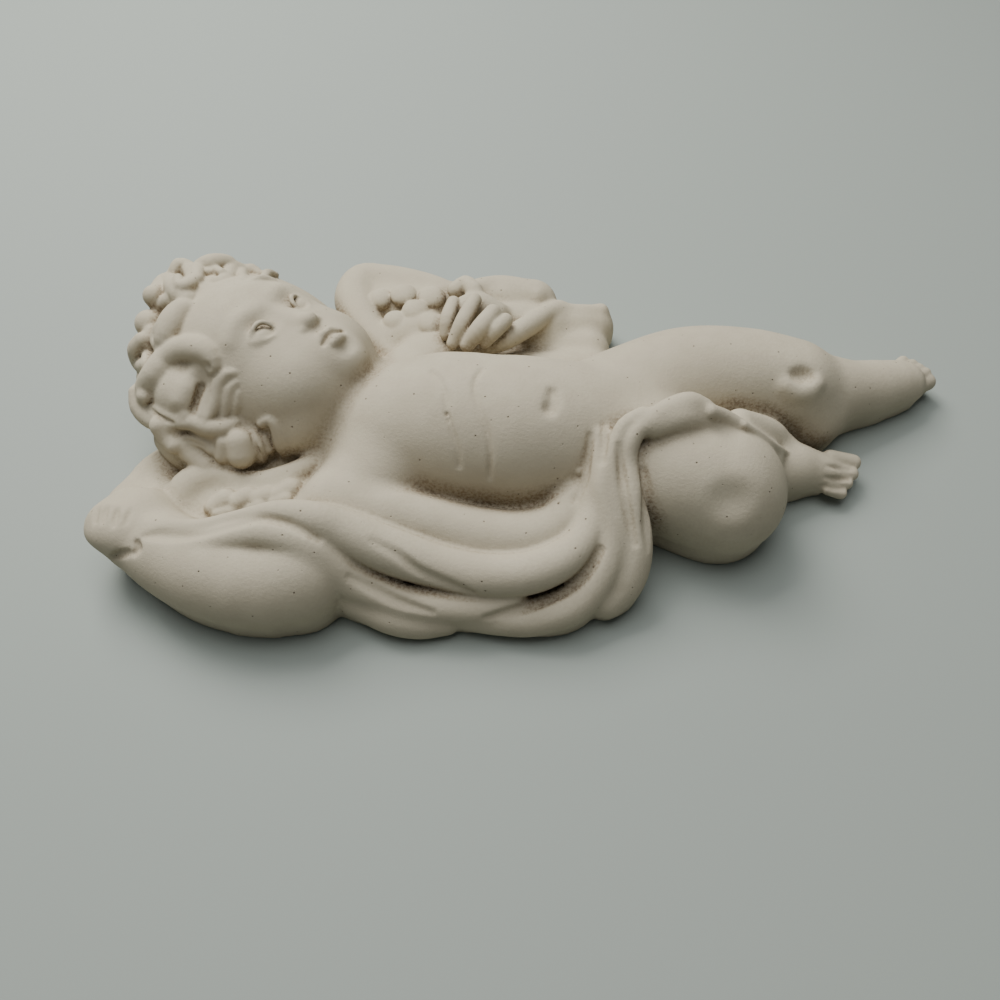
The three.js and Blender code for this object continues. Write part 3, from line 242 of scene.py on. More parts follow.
    def rolls(self, radius: float, soft: float, *lines: Sequence[Station]) -> None:
        """Works several rolled forms into the clay, one after another."""
        for stations in lines:
            self.roll(radius, stations, soft)

    def grooves(self, radius: float, soft: float, *lines: Sequence[Station]) -> None:
        """Presses several grooves into the clay, one after another."""
        for stations in lines:
            self.groove(radius, stations, soft)

    def sample(self, points: np.ndarray) -> np.ndarray:
        """The distance to the surface at each of the points, between the grid points that surround it."""
        spot = (points - self.low) / self.cell
        base = np.clip(np.floor(spot).astype(int), 0, np.array(self.gap.shape) - 2)
        share = np.clip(spot - base, 0, 1)
        total = np.zeros(len(points))
        for corner in np.ndindex(2, 2, 2):
            weight = np.prod(np.where(corner, share, 1 - share), axis=1)
            i, j, k = (base + corner).T
            total += weight * self.gap[i, j, k]
        return total

    def open_columns(self, outline: np.ndarray) -> np.ndarray:
        """The columns outside an outline, without those in a gap that it closes off.

        Args:
            outline: The distances to the outline.

        Returns:
            True for each column that can be reached from a corner of the block.
        """
        space = outline >= 0
        reached = np.zeros_like(space)
        reached[0, 0] = True
        count = 0
        while count != reached.sum():
            count = reached.sum()
            for axis in (0, 1):
                for flip in (slice(None), slice(None, None, -1)):
                    front = np.moveaxis(reached, axis, 0)[flip]
                    room = np.moveaxis(space, axis, 0)[flip]
                    for n in range(1, len(front)):
                        front[n] |= front[n - 1] & room[n]
        return reached

    def fill_under(self, height: float = 8.0, draft: float = 0.15) -> None:
        """Fills in under the round forms, so that the sides run down to the back with a little draft.

        Args:
            height: The height below which nothing undercuts.
            draft: How far the sides lean in for each millimetre down.
        """
        top = round((height - self.low[2]) / self.cell)
        outline = self.gap[:, :, top].copy()
        closed_off = ~self.open_columns(outline) & (outline >= 0)
        outline[closed_off] = -self.far
        for level in range(top):
            lean = draft * (top - level) * self.cell
            self.gap[:, :, level] = np.minimum(self.gap[:, :, level], outline + lean)

    def cut_back(self) -> None:
        """Cuts the back flat at z = 0, as the open side of the mould leaves it."""
        z = self.low[2] + self.cell * np.arange(self.gap.shape[2], dtype=np.float32)
        self.gap = np.maximum(self.gap, -z)

    def skin(self) -> tuple[np.ndarray, np.ndarray]:
        """The surface of the clay.

        Returns:
            Its points in millimetres, and its quads as rows of four point numbers.
        """
        grid = openvdb.FloatGrid(self.far)
        grid.copyFromArray(self.gap)
        points, quads = grid.convertToQuads(isovalue=self.skin_at)
        return points * self.cell + np.array(self.low, np.float32), quads


@dataclass
class Torso:
    """The chest, the belly and the arms as far as the cloth."""

    girth: float = 23.0
    arm: float = 13.0

    def shape(self, clay: Clay) -> None:
        """Works the body and the upper arms into the clay."""
        clay.rolls(self.girth, 4,
            [(-42, -2, 11, 0.74), (-32, 0, 15.5, 0.93), (-22, 1, 18, 1), (-14, 0, 19, 1)],
            [(-14, 0, 19, 0.99), (-5, -1, 19.5, 1.02), (4, -1.5, 19.5, 1.04), (20, 0, 17.5, 0.98),
             (36, 2, 15, 0.85)])
        clay.rolls(self.arm, 6,
            [(-40, -17, 15, 1.08), (-46, -24, 14, 1.04), (-52, -34, 13.5, 1), (-58, -46, 12.5, 1.08)],
            [(-38, 15, 14, 0.92), (-26, 32, 12.5, 0.85), (-14, 37, 13.5, 0.69)])
        clay.rolls(self.arm, 3,
            [(-56, 40, 4, 0.62), (-44, 32, 6, 0.77), (-26, 34, 6, 0.77), (-8, 32, 6, 0.81),
             (12, 32, 6, 0.81), (27, 36, 5, 0.73)],
            [(-14, 43, 5, 0.69), (6, 45, 5, 0.69), (27, 46.5, 5, 0.65)],
            [(54, 4, 6, 0.92), (70, 5, 5, 0.77), (80, 6.5, 4, 0.54)])


@dataclass
class Belly:
    """The soft folds and the navel."""

    crease: float = 1.1

    def shape(self, clay: Clay) -> None:
        """Presses the folds of the belly and the navel."""
        clay.grooves(self.crease, 1.6,
            [(-22, 3.5, 41.5, 0.14), (-19.5, -0.5, 42.5, 0.32), (-17.5, -5.5, 42, 0.41),
             (-17, -10.5, 40.5, 0.45), (-15.5, -15, 37.5, 0.41), (-14, -19, 34, 0.36),
             (-13.5, -21.5, 30, 0.09)],
            [(-7.5, 4, 42.5, 0.09), (-9.5, -1, 43, 0.27), (-9, -6.5, 42.5, 0.36), (-7.5, -11, 41, 0.36),
             (-6, -15, 38.5, 0.32), (-5, -19.5, 34.5, 0.27), (-5, -23.5, 27.5, 0.09)])
        clay.ball((-17, -10.5, 39.5), (0.6, 0.6, 0.6), 0.3, pressed=True)
        clay.ball((-16.5, -12, 39), (0.6, 0.6, 0.6), 0.3, pressed=True)
        clay.ball((20.5, -20.5, 27.5), (1.3, 1.3, 1.3), 0.5)
        clay.groove(self.crease, [(12.5, -4, 42, 0.55), (12.5, -7, 42, 0.91), (11.5, -9, 41, 0.91)], 3)


@dataclass
class Legs:
    """The far leg laid straight and the near knee drawn up."""

    thigh: float = 17.0
    shin: float = 12.0
    dimple: float = 3.5

    def shape(self, clay: Clay) -> None:
        """Works the legs and the dimples of the knees."""
        clay.roll(self.thigh, [(34, 13, 15, 1.09), (56, 22, 16.5, 1.09), (76, 24.5, 17, 0.97),
            (90, 23, 17, 0.85)], 5)
        clay.roll(self.shin, [(88, 23, 15, 1.17), (100, 24, 12, 1.08), (110, 25.5, 11, 0.88),
            (119, 28, 9.5, 0.75)], 4)
        clay.ball((97, 15, 7), (10, 9, 10), 6)
        clay.roll(self.shin, [(118, 28, 9, 0.73), (126, 30.5, 8.5, 0.72), (132, 32.5, 7.5, 0.63)], 3)
        clay.groove(self.dimple, [(88, 15, 29.5, 0.4), (90, 15, 29.5, 0.63), (91.5, 15, 29, 0.43)], 3.5)
        clay.roll(self.dimple, [(85, 13, 27, 0.34), (88.5, 12, 25.5, 0.51), (92, 12.5, 25.5, 0.46),
            (94.5, 14, 27, 0.29)], 4)
        clay.roll(self.thigh, [(36, -6, 16, 1.06), (50, -14, 18, 1.12), (62, -17.5, 17.5, 1.09)], 5)
        clay.ball((64, -18, 13), (18, 17.5, 16), 6)
        clay.roll(self.shin, [(72, -12, 10, 0.92), (80, -6.5, 9, 0.75), (88, -4, 8, 0.67)], 4)
        clay.roll(self.shin, [(84.5, -4, 8, 0.68), (92, -3.5, 7, 0.61), (98, -4, 6, 0.53),
            (101, -4, 5, 0.45)], 3)
        clay.ball((62, -34, 32), (3.5, 3.5, 3.5), 7, pressed=True)


@dataclass
class Feet:
    """The toes of both feet."""

    toe: float = 2.2

    def shape(self, clay: Clay) -> None:
        """Adds the toes, from the great toe of the near foot on."""
        clay.rolls(self.toe, 0.8,
            [(101.5, 0, 8.6, 1.18), (109, -0.5, 7, 1.18)],
            [(101, -4, 8, 1), (108, -4.5, 6.4, 1)],
            [(100, -7.5, 7.2, 0.95), (106, -7.5, 5.6, 0.95)],
            [(99.5, -10, 6, 0.91), (104, -10.5, 4.4, 0.91)])
        clay.grooves(self.toe, 0.8,
            [(98, -6, 12.5, 0.14), (102.5, -5.5, 10.5, 0.32), (107, -4.5, 9, 0.27)],
            [(97.5, -9, 10.5, 0.14), (101.5, -8.5, 9, 0.32), (106, -7.5, 7.5, 0.23)],
            [(97, -10.5, 8, 0.14), (100.5, -11, 7.5, 0.27), (104, -10.5, 6.5, 0.18)])
        clay.rolls(self.toe, 0.5,
            [(129, 35.5, 12, 0.86), (134, 41, 9.5, 0.86)],
            [(130, 34, 12, 0.86), (137, 40, 9, 0.86)],
            [(131, 31.5, 12, 0.91), (139, 38.5, 8.5, 0.91)],
            [(132.5, 30, 11.5, 0.95), (141, 37, 8, 0.95)],
            [(132, 28.5, 9, 1.36), (141.5, 34.5, 6.5, 1.36)])


@dataclass
class Skull:
    """The head without its hair or features."""

    neck: float = 16.0

    def shape(self, clay: Clay) -> None:
        """Works the neck, the skull, the full cheeks and the chin into the clay."""
        clay.roll(self.neck, [(-60, 8, 14, 1), (-48, 2, 11, 0.94)], 5)
        for place, radii, soft in (
            ((1.5, -2.5, 8), (27.5, 26.5, 29), 4),
            ((1, 3, -7), (24, 22.5, 24), 6),
            ((1, 8, 11), (21.5, 15.5, 17), 6),
            ((11, 11, -12.5), (11.5, 12, 11.5), 6),
            ((-9.5, 10.5, -12.5), (10, 11.5, 11), 6),
            ((0, 11, -19), (9, 12, 7), 6),
            ((0, 19.5, -21.5), (5.6, 5.2, 4.4), 4),
            ((0, 18.5, -15), (8.5, 7, 6), 5),
            ((15, 2, -19), (10, 10, 7), 4),
        ):
            clay.head_ball(place, radii, soft)


@dataclass
class Face:
    """Eyes with their lids, the short nose and the parted lips."""

    eye_middle: float = 2.0  # the line halfway between the eyes, to the child's right of the skull's middle
    eye_apart: float = 9.3
    lid: float = 0.8
    nose: float = 2.6
    nostril: float = 0.35
    lip: float = 1.05

    def shape(self, clay: Clay) -> None:
        """Carves the face, the nose before the eyes that lie beside it."""
        for side in (1, -1):
            self.press_socket(clay, side)
        self.build_nose(clay)
        for side in (1, -1):
            self.build_eye(clay, side)
        self.build_mouth(clay)

    def across(self, side: int, apart: float) -> float:
        """How far right a place of one eye is, from how far it lies outward of the eye's middle."""
        return self.eye_middle + side * (self.eye_apart + apart)

    def press_socket(self, clay: Clay, side: int) -> None:
        """Presses the socket on one side, 1 or -1, and the opening between its lids."""
        clay.head_ball((self.across(side, -1.8), 28, 4), (6, 4.2, 4.4), 3.5, pressed=True)
        clay.head_ball((self.across(side, 0), 24.8, 1.2), (4.3, 2.3, 3.2), 1.2, pressed=True)

    def build_eye(self, clay: Clay, side: int) -> None:
        """Builds one eyeball, its lids and its brow.

        Args:
            clay: The block.
            side: 1 for the child's right eye, -1 for the left.
        """
        clay.head_ball((self.across(side, 0), 19.2, 1.2), (4.9, 4.8, 3.8), 0.8)
        upper = [(-3.1, 23.6, -1.2, 0.56), (-3.3, 24.5, 1.3, 0.88), (-1.8, 24.8, 3.6, 1), (0.8, 23.9, 4.1, 1),
                 (3.8, 21.4, 2.9, 0.56)]
        lower = [(-3.1, 23.6, -1.3, 0.56), (-0.7, 23.7, -1.9, 0.75), (1.7, 22.9, -0.8, 0.75),
                 (4, 21.3, 2.4, 0.56)]
        brow = [(-5.3, 22.4, 8.4, 1.9), (0.2, 22.2, 9.6, 2.1), (5.7, 18.6, 8, 1.9)]
        for line, soft in ((upper, 0.5), (lower, 0.9), (brow, 3.0)):
            placed = [(self.across(side, apart), y, z, share) for apart, y, z, share in line]
            clay.feature(self.lid, placed, soft)

    def build_nose(self, clay: Clay) -> None:
        """Builds the bridge, the tip and the wings of the nose, and marks the nostrils."""
        clay.feature(self.nose, [(1.4, 20.6, 4, 0.85), (1, 22.8, -1, 0.92), (0.6, 24.8, -5.2, 1)], 3)
        clay.head_ball((0.4, 26, -6.4), (3, 2.9, 2.5), 1.6)
        for side in (1, -1):
            clay.head_ball((0.6 + 3.3 * side, 24.2, -7), (1.9, 2.1, 1.7), 0.8)
        for side in (1, -1):
            line = [(0.6 + 3.4 * side, 24.9, -8.3, 1), (0.6 + 4.4 * side, 23.8, -8.4, 1)]
            clay.feature(self.nostril, line, 0.8, pressed=True)

    def build_mouth(self, clay: Clay) -> None:
        """Opens the mouth, rolls the lips over it and presses the hollow above the chin."""
        opening = [(5.2, 25.6, -14.6, 0.67), (3, 26.6, -14.5, 0.86), (1, 26.9, -14.3, 0.86),
                   (-1.2, 26.7, -14.9, 0.86), (-3.2, 25.6, -15.8, 0.67)]
        upper = [(4.8, 25.2, -13.4, 0.57), (2.7, 26.2, -12.4, 1), (1, 26.2, -12.7, 0.86),
                 (-0.8, 26.2, -12.7, 1), (-3, 25.2, -13.9, 0.57)]
        lower = [(4, 25.2, -16.4, 0.95), (1.5, 26.2, -17, 2), (-1.6, 25.4, -17.2, 1.14)]
        clay.feature(self.lip, opening, 0.7, pressed=True)
        clay.feature(self.lip, upper, 0.9)
        clay.feature(self.lip, lower, 0.6)
        clay.head_ball((1.5, 28, -20.6), (4.4, 2.6, 1.6), 2.5, pressed=True)


@dataclass
class Wings:
    """The rolled rims of both wings and the scale feathers inside them."""

    rim: float = 7.0
    feather: float = 3.4

    def shape(self, clay: Clay) -> None:
        """Works the far wing and then the near one."""
        clay.roll(self.rim, [(-39.5, 35.5, 16, 0.43), (-45, 43.5, 15, 0.71), (-50, 53, 14, 0.97),
            (-53, 63, 13.5, 1.06), (-51, 70.5, 13.5, 1), (-44.5, 71, 14, 0.89), (-36.5, 69, 15, 0.83),
            (-27.5, 66.5, 15, 0.77), (-20, 63.5, 15, 0.66)], 2)
        clay.rolls(self.rim, 3,
            [(-45.5, 65, 8, 1.43), (-37, 61.5, 9, 1.57), (-27, 59, 10, 1.57)],
            [(-36.5, 44, 12, 1.21), (-28, 45.5, 14, 1.21)])
        for place, radii in (
            ((-43.5, 58, 18.1), (4.22, 4.35, 2.8)),
            ((-35.5, 58, 20.1), (4.59, 4.74, 2.8)),
            ((-26, 57, 20.1), (4.71, 4.86, 2.8)),
            ((-31, 50, 20.6), (4.59, 4.74, 2.8)),
            ((-37.5, 46.5, 19.1), (4.22, 4.35, 2.8)),
            ((-25.5, 43.5, 21.1), (4.46, 4.61, 2.8)),
        ):
            clay.ball(place, radii, 0.3)
        clay.roll(self.rim, [(-95, -26.5, 10, 0.71), (-95, -22.5, 13, 0.8), (-92.5, -18.5, 15, 0.8),
            (-86.5, -16.5, 16, 0.66), (-79.5, -17.5, 16.5, 0.51), (-72, -18.5, 17, 0.46),
            (-65.5, -17, 18, 0.46), (-59.5, -14.5, 18.5, 0.51), (-56, -9.5, 17, 0.57)], 1.6)
        clay.rolls(self.rim, 3,
            [(-95, -21.5, 7, 1.14), (-82, -23.5, 10, 1.14), (-64, -21.5, 12, 1.21)],
            [(-91, -8.5, 8, 0.86), (-80, -11, 9, 1), (-66.5, -8, 10, 1)])
        clay.roll(self.rim, [(-101.5, -3, 3, 1.29), (-107, -8.5, 3, 1.29), (-110.5, -13, 3, 1.14),
            (-115, -18, 3, 1)], 5)
        clay.roll(self.rim, [(-104, -20, 4, 1.43), (-92, -32, 5, 1.57), (-74, -34, 5, 1.57),
            (-56, -30, 6, 1.43)], 4)
        clay.rolls(self.feather, 0.3,
            [(-84, -27.5, 16, 0.99), (-81, -25.5, 17, 1.1)],
            [(-77.5, -26.5, 17.5, 0.92), (-74.5, -25, 18, 1.03)],
            [(-71.5, -26, 18.5, 0.89), (-69, -25, 18.5, 0.99)],
            [(-65, -25, 19, 0.92), (-62, -23, 19.5, 1.03)],
            [(-82.5, -30, 16.5, 0.72), (-78.5, -29, 16.5, 0.81)],
            [(-74.5, -28.5, 16.5, 0.72), (-70.5, -28.5, 18.5, 0.81)],
            [(-66.5, -27.5, 19, 0.66), (-63, -27, 20, 0.74)])


@dataclass
class Hands:
    """The near fist that grips the cloth and the far hand that lies on it."""

    forearm: float = 13.0
    finger: float = 2.4
    crease: float = 1.1

    def shape(self, clay: Clay) -> None:
        """Works the near forearm and fist, and then the far hand."""
        clay.roll(self.forearm, [(-59, -47, 12, 1.09), (-66, -49, 12, 1.05)], 3)
        clay.roll(self.forearm, [(-73, -49, 12.5, 1.03), (-84, -46.5, 13, 0.98), (-94, -42, 13.5, 0.91),
            (-103, -36, 13.5, 0.83)], 2)
        clay.ball((-106, -32, 13), (11.5, 11, 10.8), 4)
        clay.roll(self.forearm, [(-104, -30, 17, 0.5), (-109, -29, 16.5, 0.46)], 3)
        clay.rolls(self.finger, 4,
            [(-115.5, -33, 17.5, 1.42), (-113, -33.5, 19.5, 1.67), (-108.5, -34.5, 20.5, 1.75),
             (-105.5, -35.5, 20, 1.67)],
            [(-115.5, -36.5, 16, 1.42), (-112, -38.5, 18.5, 1.75), (-107.5, -39.5, 19.5, 1.83)])
        clay.grooves(self.crease, 1,
            [(-114, -33, 24, 0.36), (-114, -35, 24, 0.73), (-113.5, -37.5, 23.5, 0.36)],
            [(-111, -33.5, 25, 0.36), (-111, -36, 25, 0.73), (-111, -38, 24.5, 0.36)],
            [(-107.5, -34.5, 25.5, 0.36), (-107.5, -37, 25.5, 0.82), (-107.5, -39.5, 25, 0.36)],
            [(-104, -34.5, 25.5, 0.27), (-104, -36.5, 25.5, 0.64), (-104.5, -39, 25, 0.27)],
            [(-111, -44, 15, 0.45), (-106.5, -45.5, 19.5, 1), (-103, -46, 21.5, 0.82)],
            [(-100.5, -44, 23.5, 0.82), (-100, -45.5, 23, 1.09), (-101, -46.5, 22, 0.64)])
        clay.roll(self.finger, [(-18, 44.5, 20, 1.75), (-15, 47, 23, 2), (-10, 50, 23, 2),
            (-4.5, 48.5, 21, 1.92)], 3)
        clay.roll(self.finger, [(-17.5, 57.5, 23, 1.25), (-14.5, 59.5, 24, 1.25),
            (-11.5, 55.5, 25, 1.25)], 2)
        clay.rolls(self.finger, 0.5,
            [(-18, 47.5, 27, 0.92), (-19.5, 39, 28, 1.01), (-20, 35, 25, 0.83)],
            [(-11, 45.5, 30, 1), (-14.5, 36, 29.5, 1.1), (-17.5, 31, 25, 0.9)],
            [(-5, 40, 30, 1.13), (-9, 33, 29.75, 1.24), (-13, 30, 25.5, 1.01)],
            [(-1, 38.5, 28, 1.04), (-4.5, 33.5, 28.5, 1.15), (-7.5, 32, 25, 0.94)])


@dataclass
class FarCloth:
    """The cloth behind the far hand."""

    fold: float = 4.8
    hem: float = 3.0

    def shape(self, clay: Clay) -> None:
        """Works the lobes, the ribbon and the flat end of the cloth."""
        clay.roll(self.fold, [(-14.5, 64.5, 12, 1.46), (-9, 63, 11, 1.88), (-1, 64, 11, 1.96),
            (8.5, 64, 11, 1.83)], 3)
        clay.roll(self.hem, [(-15.5, 58, 20, 1), (-10.5, 64, 18, 1.13), (-3, 67, 17, 1.07),
            (4, 65.5, 17, 1), (9.5, 61.5, 17, 1)], 2)
        clay.roll(self.fold, [(-9.5, 50, 12, 1.88), (1, 50.5, 13, 1.67), (13, 52.5, 10, 1.67)], 3)
        clay.roll(self.hem, [(-6.5, 35, 20, 1), (-1, 36, 22, 1.13), (5.5, 42.5, 21, 1.2),
            (12.5, 52.5, 17, 1.13), (17.5, 59, 14, 1)], 1.2)
        clay.roll(self.fold, [(15, 56, 8, 1.67), (23, 56, 7.5, 1.58), (30, 57, 7, 1.38)], 3)
        clay.roll(self.hem, [(16.5, 57.5, 13, 1), (24.5, 59.5, 12.5, 0.8), (32.5, 60.5, 12, 0.67)], 2)
        clay.roll(self.fold, [(32.5, 61, 11, 0.42), (33, 59, 8, 0.62), (32.5, 55, 4, 0.83)], 3)


@dataclass
class NearCloth:
    """The long cloth from the near fist, under the body and over the thigh."""

    heap: float = 13.0
    fold: float = 5.0
    crease: float = 1.1

    def shape(self, clay: Clay) -> None:
        """Works the folds and presses the creases between them."""
        clay.roll(self.heap, [(-42, -30, 8, 1.08), (-20, -34, 7, 1), (0, -36, 6, 1), (18, -32, 7, 1),
            (30, -24, 9, 0.92)], 4)
        clay.roll(self.fold, [(-50.5, -27.5, 21, 1.4), (-37.5, -30, 19, 1.6), (-24.5, -32, 17, 1.6),
            (-10.5, -34.5, 15, 1.6), (4, -36, 15, 1.6), (14, -33, 17, 1.4), (20.5, -25.5, 20, 1.2)], 3)
        clay.roll(self.fold, [(-102.5, -37, 21, 0.52), (-94.5, -38.5, 22.5, 0.58),
            (-84.5, -39, 23.5, 0.52), (-76, -37.5, 25, 0.5), (-69.5, -37, 27, 0.54),
            (-64.5, -37, 28.5, 0.64), (-59, -37.5, 29, 0.8), (-52, -38.5, 27.5, 1.04),
            (-45.5, -39.5, 24, 1.24), (-37.5, -41.5, 21, 1.32), (-28, -44, 18.5, 1.32),
            (-18.5, -46, 16.5, 1.24), (-6.5, -48, 15.5, 1.24), (5.5, -47.5, 16, 1.24),
            (15, -44.5, 18, 1.16), (21, -39.5, 20, 1), (24, -33, 22, 0.92), (24.5, -25.5, 25, 0.8),
            (25.5, -19.5, 30, 0.64), (27, -13, 34, 0.56)], 1.6)
        clay.roll(self.fold, [(-101.5, -41, 19.5, 0.48), (-94, -43, 21, 0.64),
            (-83.5, -43.5, 22.5, 0.76), (-74, -42.5, 24.5, 0.84), (-66.5, -42, 26, 0.92),
            (-60, -43, 26, 1.04), (-54, -44.5, 23, 1.24), (-49, -46.5, 18.5, 1.28),
            (-43.5, -48.5, 14, 1.2), (-36.5, -51, 11.5, 1.04), (-27.5, -53.5, 10, 0.94),
            (-17, -54.5, 9, 0.92), (-6.5, -54.5, 9, 0.92), (2, -53, 9.5, 0.8)], 1.4)
        clay.roll(self.fold, [(-51.5, -44.5, 10, 1.48), (-45.5, -48.5, 8, 1.28), (-38, -52.5, 6, 1.16),
            (-31, -55.5, 5, 1.12), (-24, -56.5, 4, 1.04), (-17, -55.5, 4, 1)], 1.8)
        clay.rolls(self.fold, 1.6,
            [(-10, -54.5, 5, 1), (-1.5, -55.5, 5, 1.04), (7.5, -55.5, 5.5, 1.12), (17, -53.5, 8, 1.16),
             (23.5, -49, 11, 1.16), (27.5, -43.5, 15.5, 1.08), (29, -36.5, 20.5, 0.96),
             (27.5, -30.5, 25, 0.84), (26.5, -26, 28.5, 0.68), (27.5, -20, 32, 0.52)],
            [(28.5, -49, 6, 1.28), (33, -45.5, 9, 1.28), (35.5, -41, 14, 1.16), (36, -35.5, 20, 0.96),
             (34.5, -28.5, 27, 0.76), (33.5, -20.5, 32, 0.6), (35, -15.5, 37, 0.52),
             (39.5, -11.5, 40, 0.52), (46, -7.5, 41, 0.56), (51, -6, 41, 0.6), (55, -6.5, 39, 0.6)])
        clay.roll(self.fold, [(31.5, -45, 11, 1.08), (31.5, -39, 17.5, 0.88), (31, -31.5, 24, 0.76),
            (29.5, -24.5, 29.5, 0.64), (29.5, -18.5, 34, 0.52), (32.5, -12.5, 38, 0.48),
            (37.5, -10, 40, 0.48)], 1.2)
        clay.roll(self.fold, [(41, -12, 38, 0.8), (48.5, -9, 38, 1), (56, -7.5, 35, 0.96),
            (62.5, -8, 31, 0.92), (71, -7.5, 25, 0.92), (78.5, -7, 18.5, 0.88)], 2)
        clay.roll(self.fold, [(69.5, 0, 24, 1), (79.5, 2, 17, 1.1), (84.5, 2, 12, 1)], 3)
        clay.grooves(self.crease, 1.8,
            [(-42.5, -51.5, 19.5, 0.18), (-36.5, -53, 16.5, 1), (-29, -56, 14, 1.18), (-20, -58, 12, 0.27)],
            [(-36, -44.5, 27, 0.14), (-29, -47.5, 24.5, 0.91), (-23.5, -50.5, 21, 1.09),
             (-15, -53, 18, 1), (-8.5, -54, 16, 0.18)],
            [(-5.5, -58.5, 10.5, 0.18), (2, -57, 11.5, 1.09), (11, -53.5, 12, 1.18), (18, -51, 15, 1.09),
             (23, -47, 18.5, 0.91), (26, -43, 21.5, 0.45)],
            [(30.5, -18.5, 37, 0.14), (31.5, -24, 33, 0.73), (32.5, -30.5, 30, 0.91),
             (34, -36, 25.5, 0.73), (35.5, -41, 21.5, 0.18)],
            [(-98.5, -42.5, 24.5, 0.18), (-95, -42.5, 25.5, 1.09), (-90.5, -43, 26, 1.27),
             (-86, -43, 26, 0.91), (-80, -42.5, 27.5, 0.64), (-74, -41.5, 29, 0.55),
             (-66.5, -40.5, 30.5, 0.55), (-60.5, -41.5, 31, 0.55), (-55, -43.5, 30.5, 0.45),
             (-50.5, -45, 28, 0.09)],
            [(38, -22.5, 31, 0.18), (38.5, -30.5, 27.5, 1.09), (39, -37.5, 23.5, 1.09),
             (39.5, -41.5, 20, 0.27)],
            [(23, -14, 35.5, 0.14), (22.5, -19.5, 31.5, 0.73), (21.5, -24.5, 28.5, 0.82),
             (19, -29, 25.5, 0.55)],
            [(27, -11, 36.5, 0.09), (26.5, -16, 36, 0.64), (26, -21.5, 34, 0.64)])
        clay.roll(self.fold, [(56.5, -8.5, 40, 0.44), (61, -7.5, 36.5, 0.5), (66, -8, 33.5, 0.48)], 0.8)
        clay.roll(self.crease, [(67, -9, 35, 1.18), (72, -9, 30.5, 1.45), (77, -8.5, 25.5, 1.45),
            (84.5, -5, 17, 0.91)], 0.8)


